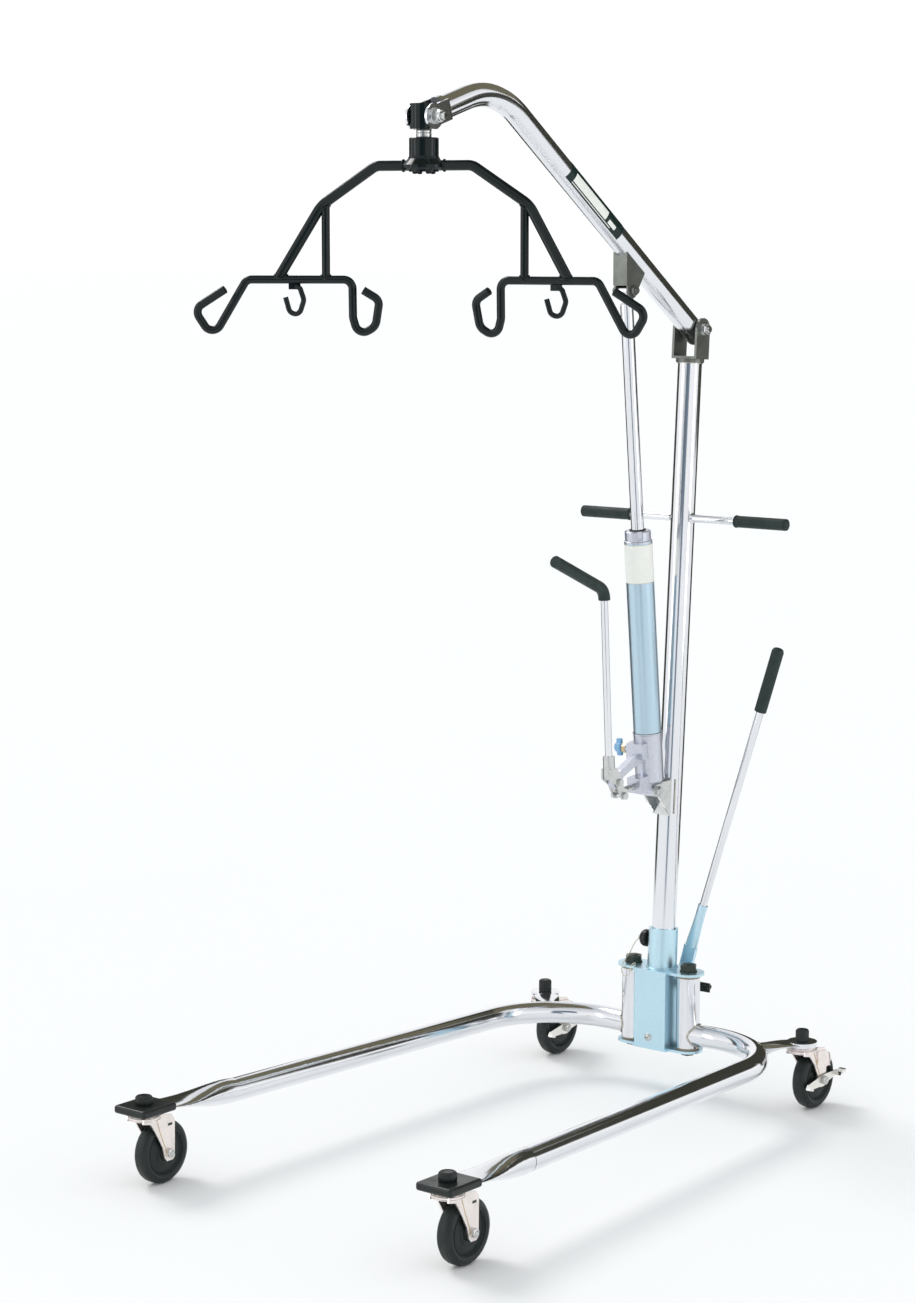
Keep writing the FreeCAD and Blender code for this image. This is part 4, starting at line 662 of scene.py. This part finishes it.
def make_boom_details():
    """A dark label without lettering, the weld at the boom's tip and the tip bolt's thread."""
    along = moved(patch(BOOM_RADIUS, 0.35, -48, 56, -452, -281, 30), axis="Y")
    piece("boom_label", "boom", "chrome_tube", BOOM, *label_turn(along), "label_dark", 60)
    bars = joined(
        moved(patch(BOOM_RADIUS + 0.3, 0.2, -30, 14, -436, -330, 16), axis="Y"),
        moved(patch(BOOM_RADIUS + 0.3, 0.2, -40, -36, -436, -310, 4), axis="Y"),
        moved(patch(BOOM_RADIUS + 0.3, 0.2, -30, -10, -322, -300, 8), axis="Y"),
    )
    piece("boom_label_bars", "boom", "chrome_tube", BOOM, *label_turn(bars), "label_pale", 60)
    tip = moved((circle_points(20.0, 0.0), []), (0, 40.9, 0), "Y")[0]
    piece("boom_tip_weld", "boom", "chrome_tube", TIP, *weld(tip, 1.5), "weld_metal")
    ends = joined(
        moved(thread(6.2, 10.5, 18.6), (21.5, 0, 0), "X"),
        moved(lathe([(6.6, 10.6), (8.9, 10.6), (8.9, 13.2), (7.6, 14.0), (6.6, 14.0)], 36),
              (21.5, 0, 0), "X"),
        moved(ring(11.4, 0.5, 2.1, 8, 40), (21.5, 0, 0), "X"),
    )
    piece("tip_bolt_thread", "boom", "zinc_hardware", TIP, *ends)


def label_turn(shape):
    """Mirrors the label patches top to bottom, which puts them on the boom's upper side."""
    verts, faces = shape
    return [Vector((v.x, v.y, -v.z)) for v in verts], [tuple(reversed(face)) for face in faces]


def make_pump_details():
    """A plain paper band on the cylinder, seals, the valve's nut and the foot bolt's rings."""
    label = patch(23.75, 0.3, 0, 359.9, 362, 428, 72)
    piece("pump_label", "pump", "zinc_plate", PUMP, *label, "label_pale", 60)
    edges = joined(ring(24.0, 0.3, 362.6, 6, 72), ring(24.0, 0.3, 427.4, 6, 72))
    piece("pump_label_edges", "pump", "zinc_plate", PUMP, *edges, "bushing_nylon")
    seam = joined(ring(23.9, 0.5, 102.2, 8, 72), ring(12.6, 1.4, 450.4, 10, 48))
    piece("pump_seals", "pump", "cast_alloy", PUMP, *seam, "dark_rubber")
    nut = joined(hexagon(9.9, 0.0, 8.4), ring(7.0, 0.8, 8.4, 8, 32))
    piece("valve_nut", "pump", "cast_alloy", PUMP, *moved(nut, (-28.0, -20, 75), "-X"), "brass")
    heads = []
    for x, axis in ((22.7, "X"), (-22.6, "-X")):
        heads.append(moved(joined(ring(5.2, 0.5, 0.1, 8, 28), ring(3.0, 0.4, 0.1, 8, 24)), (x, 0, 0), axis))
    piece("pump_foot_marks", "mast", "zinc_hardware", PUMP, *joined(*heads))


def make_hanger_details():
    stud = lathe([
        (10.0, -31.2), (11.4, -31.2), (11.6, -30.4), (11.6, -25.6), (10.9, -24.8), (11.6, -24.0),
        (11.6, -19.6), (11.2, -18.9), (10.0, -18.9),
    ], 48)
    piece("stud_collar", "hanger_block", "zinc_hardware", frame_at(joint_at("hanger_tilt")), *stud)


# ---------------------------------------------------------------- cradle
BAR_DROP, ARM_DROP, BAR_RADIUS = 244.0, 73.0, 6.35
POST_X, STRUT_X = 159.0, 227.5


def make_cradle_welds():
    """Weld beads at each post, strut and arm, and the rims of the hub and its screws."""
    for side, name in SIDES:
        post, strut = [], []
        for i in range(72):
            turn = 2 * math.pi * i / 72
            x, y = 6.9 * math.cos(turn), 6.9 * math.sin(turn)
            saddle = math.sqrt(max(0.0, (BAR_RADIUS + 0.4) ** 2 - y * y))
            post.append((side * (POST_X + x), y, -BAR_DROP + saddle))
            x, y = 9.3 * math.cos(turn), 8.4 * math.sin(turn)
            saddle = math.sqrt(max(0.0, (BAR_RADIUS + 0.6) ** 2 - min(y * y, 44.0)))
            strut.append((side * (STRUT_X + x), -0.2 * (STRUT_X + x - POST_X) + y, -BAR_DROP + saddle))
        hub = moved((circle_points(8.5, 0.0, 72), []), (side * 32.6, 0, -ARM_DROP), "X")[0]
        top = [
            (side * (POST_X + 6.9 * math.cos(2 * math.pi * i / 72)), 6.9 * math.sin(2 * math.pi * i / 72),
             -136.2 - 4.4 * math.cos(2 * math.pi * i / 72)) for i in range(72)
        ]
        shapes = [weld(post, 1.6), weld(strut, 1.7), weld(hub, 1.5), weld(top, 1.5)]
        piece("cradle_welds_" + name, "cradle", "black_enamel", CRADLE, *joined(*shapes))
    screws = []
    for i in range(4):
        turn = math.radians(45 + 90 * i)
        screws.append(moved(ring(2.2, 0.5, -85.2, 8, 24), (15 * math.cos(turn), 15 * math.sin(turn), 0)))
    rims = joined(ring(22.3, 0.5, -33.2, 8, 56), ring(32.6, 0.5, -76.0, 8, 64), *screws)
    piece("hub_rims", "cradle", "black_enamel", CRADLE, *rims)


# ---------------------------------------------------------------- studio
def card(name, centre, size, towards, level):
    """A card round the object that reflections see and the camera doesn't."""
    half_width, half_height = size[0] / 2, size[1] / 2
    mesh = bpy.data.meshes.new(name)
    mesh.from_pydata(
        [(-half_width, -half_height, 0), (half_width, -half_height, 0), (half_width, half_height, 0),
         (-half_width, half_height, 0)], [], [(0, 1, 2, 3)],
    )
    obj = bpy.data.objects.new(name, mesh)
    obj.location = centre
    obj.rotation_euler = (Vector(towards) - Vector(centre)).to_track_quat("Z", "Y").to_euler()
    bpy.context.scene.collection.objects.link(obj)
    mesh.materials.append(glow(name, level))
    obj.visible_camera = False
    obj.visible_diffuse = False
    obj.visible_shadow = False
    obj.visible_transmission = False


def round_card(name, azimuth, distance, width, low, high, level):
    """A standing card at an azimuth seen from the object's middle, 0 being the front."""
    turn = math.radians(azimuth)
    spot = Vector((math.sin(turn) * distance, -math.cos(turn) * distance, (low + high) / 2))
    card(name, spot, (width, high - low), (0, 0, (low + high) / 2), level)


def make_studio():
    """White surroundings, one soft sun, a pale floor, and the cards that the chrome reflects."""
    world = bpy.data.worlds.new("studio")
    bpy.context.scene.world = world
    world.use_nodes = True
    tree = world.node_tree
    tree.nodes.clear()
    coords = tree.nodes.new("ShaderNodeTexCoord")
    split = tree.nodes.new("ShaderNodeSeparateXYZ")
    ramp = tree.nodes.new("ShaderNodeValToRGB")
    back = tree.nodes.new("ShaderNodeBackground")
    out = tree.nodes.new("ShaderNodeOutputWorld")
    ramp.color_ramp.elements[0].position = 0.0
    ramp.color_ramp.elements[0].color = (1.0, 1.0, 1.0, 1)
    ramp.color_ramp.elements[1].position = 0.9
    ramp.color_ramp.elements[1].color = (0.62, 0.65, 0.68, 1)
    near = ramp.color_ramp.elements.new(0.3)
    near.color = (1.0, 1.0, 1.0, 1)
    back.inputs["Strength"].default_value = 1.06
    tree.links.new(coords.outputs["Generated"], split.inputs[0])
    tree.links.new(split.outputs["Z"], ramp.inputs[0])
    tree.links.new(ramp.outputs[0], back.inputs["Color"])
    tree.links.new(back.outputs[0], out.inputs["Surface"])

    lamp = bpy.data.lights.new("key", "SUN")
    lamp.energy = 1.05
    lamp.angle = math.radians(24)
    lamp.color = (1.0, 0.99, 0.97)
    key = bpy.data.objects.new("key", lamp)
    key.rotation_euler = Vector((1.0, -0.12, -1.05)).to_track_quat("-Z", "Y").to_euler()
    bpy.context.scene.collection.objects.link(key)

    mesh = bpy.data.meshes.new("floor")
    reach = 90.0
    mesh.from_pydata(
        [(-reach, -reach, 0), (reach, -reach, 0), (reach, reach, 0), (-reach, reach, 0)], [], [(0, 1, 2, 3)]
    )
    floor = bpy.data.objects.new("floor", mesh)
    bpy.context.scene.collection.objects.link(floor)
    mesh.materials.append(floor_material())

    dark = (0.045, 0.045, 0.034)
    olive = (0.17, 0.155, 0.105)
    card("card_above", (0.0, 1.0, 5.2), (4.6, 5.4), (0, 1.0, 0), olive)
    round_card("card_back", 184, 3.3, 2.7, 1.2, 2.9, dark)
    round_card("card_back_high", 182, 3.5, 4.4, 2.9, 5.6, olive)
    round_card("card_back_near", 184, 2.2, 1.75, 0.0, 1.5, dark)
    round_card("card_back_right", 149, 3.5, 1.7, 0.9, 2.6, dark)
    round_card("card_back_left", 256, 3.3, 2.6, 1.2, 3.0, dark)
    round_card("card_left_near", 253, 2.2, 1.7, 0.0, 1.5, dark)
    round_card("card_streak", 24, 3.4, 2.3, 1.0, 2.4, (0.13, 0.17, 0.22))
    round_card("card_streak_near", 39, 2.6, 0.8, 0.0, 1.7, (0.20, 0.25, 0.31))
    round_card("card_left", -34, 4.5, 0.7, 0.4, 3.2, (3.2, 3.3, 3.5))
    round_card("card_right", 104, 4.5, 0.7, 0.4, 3.2, (3.2, 3.3, 3.5))


# ---------------------------------------------------------------- the making
make_camera()
make_chain()
finish_nodes()
make_base_details()
for side, side_name in SIDES:
    make_leg_welds(side, side_name)
    make_caps(side, side_name)
    for end in ("front", "rear"):
        make_caster_details(side_name, end)
    make_guard_teeth(side_name)
make_mast_details()
make_boom_details()
make_pump_details()
make_hanger_details()
make_cradle_welds()
make_studio()
bpy.context.scene.view_settings.view_transform = "Standard"
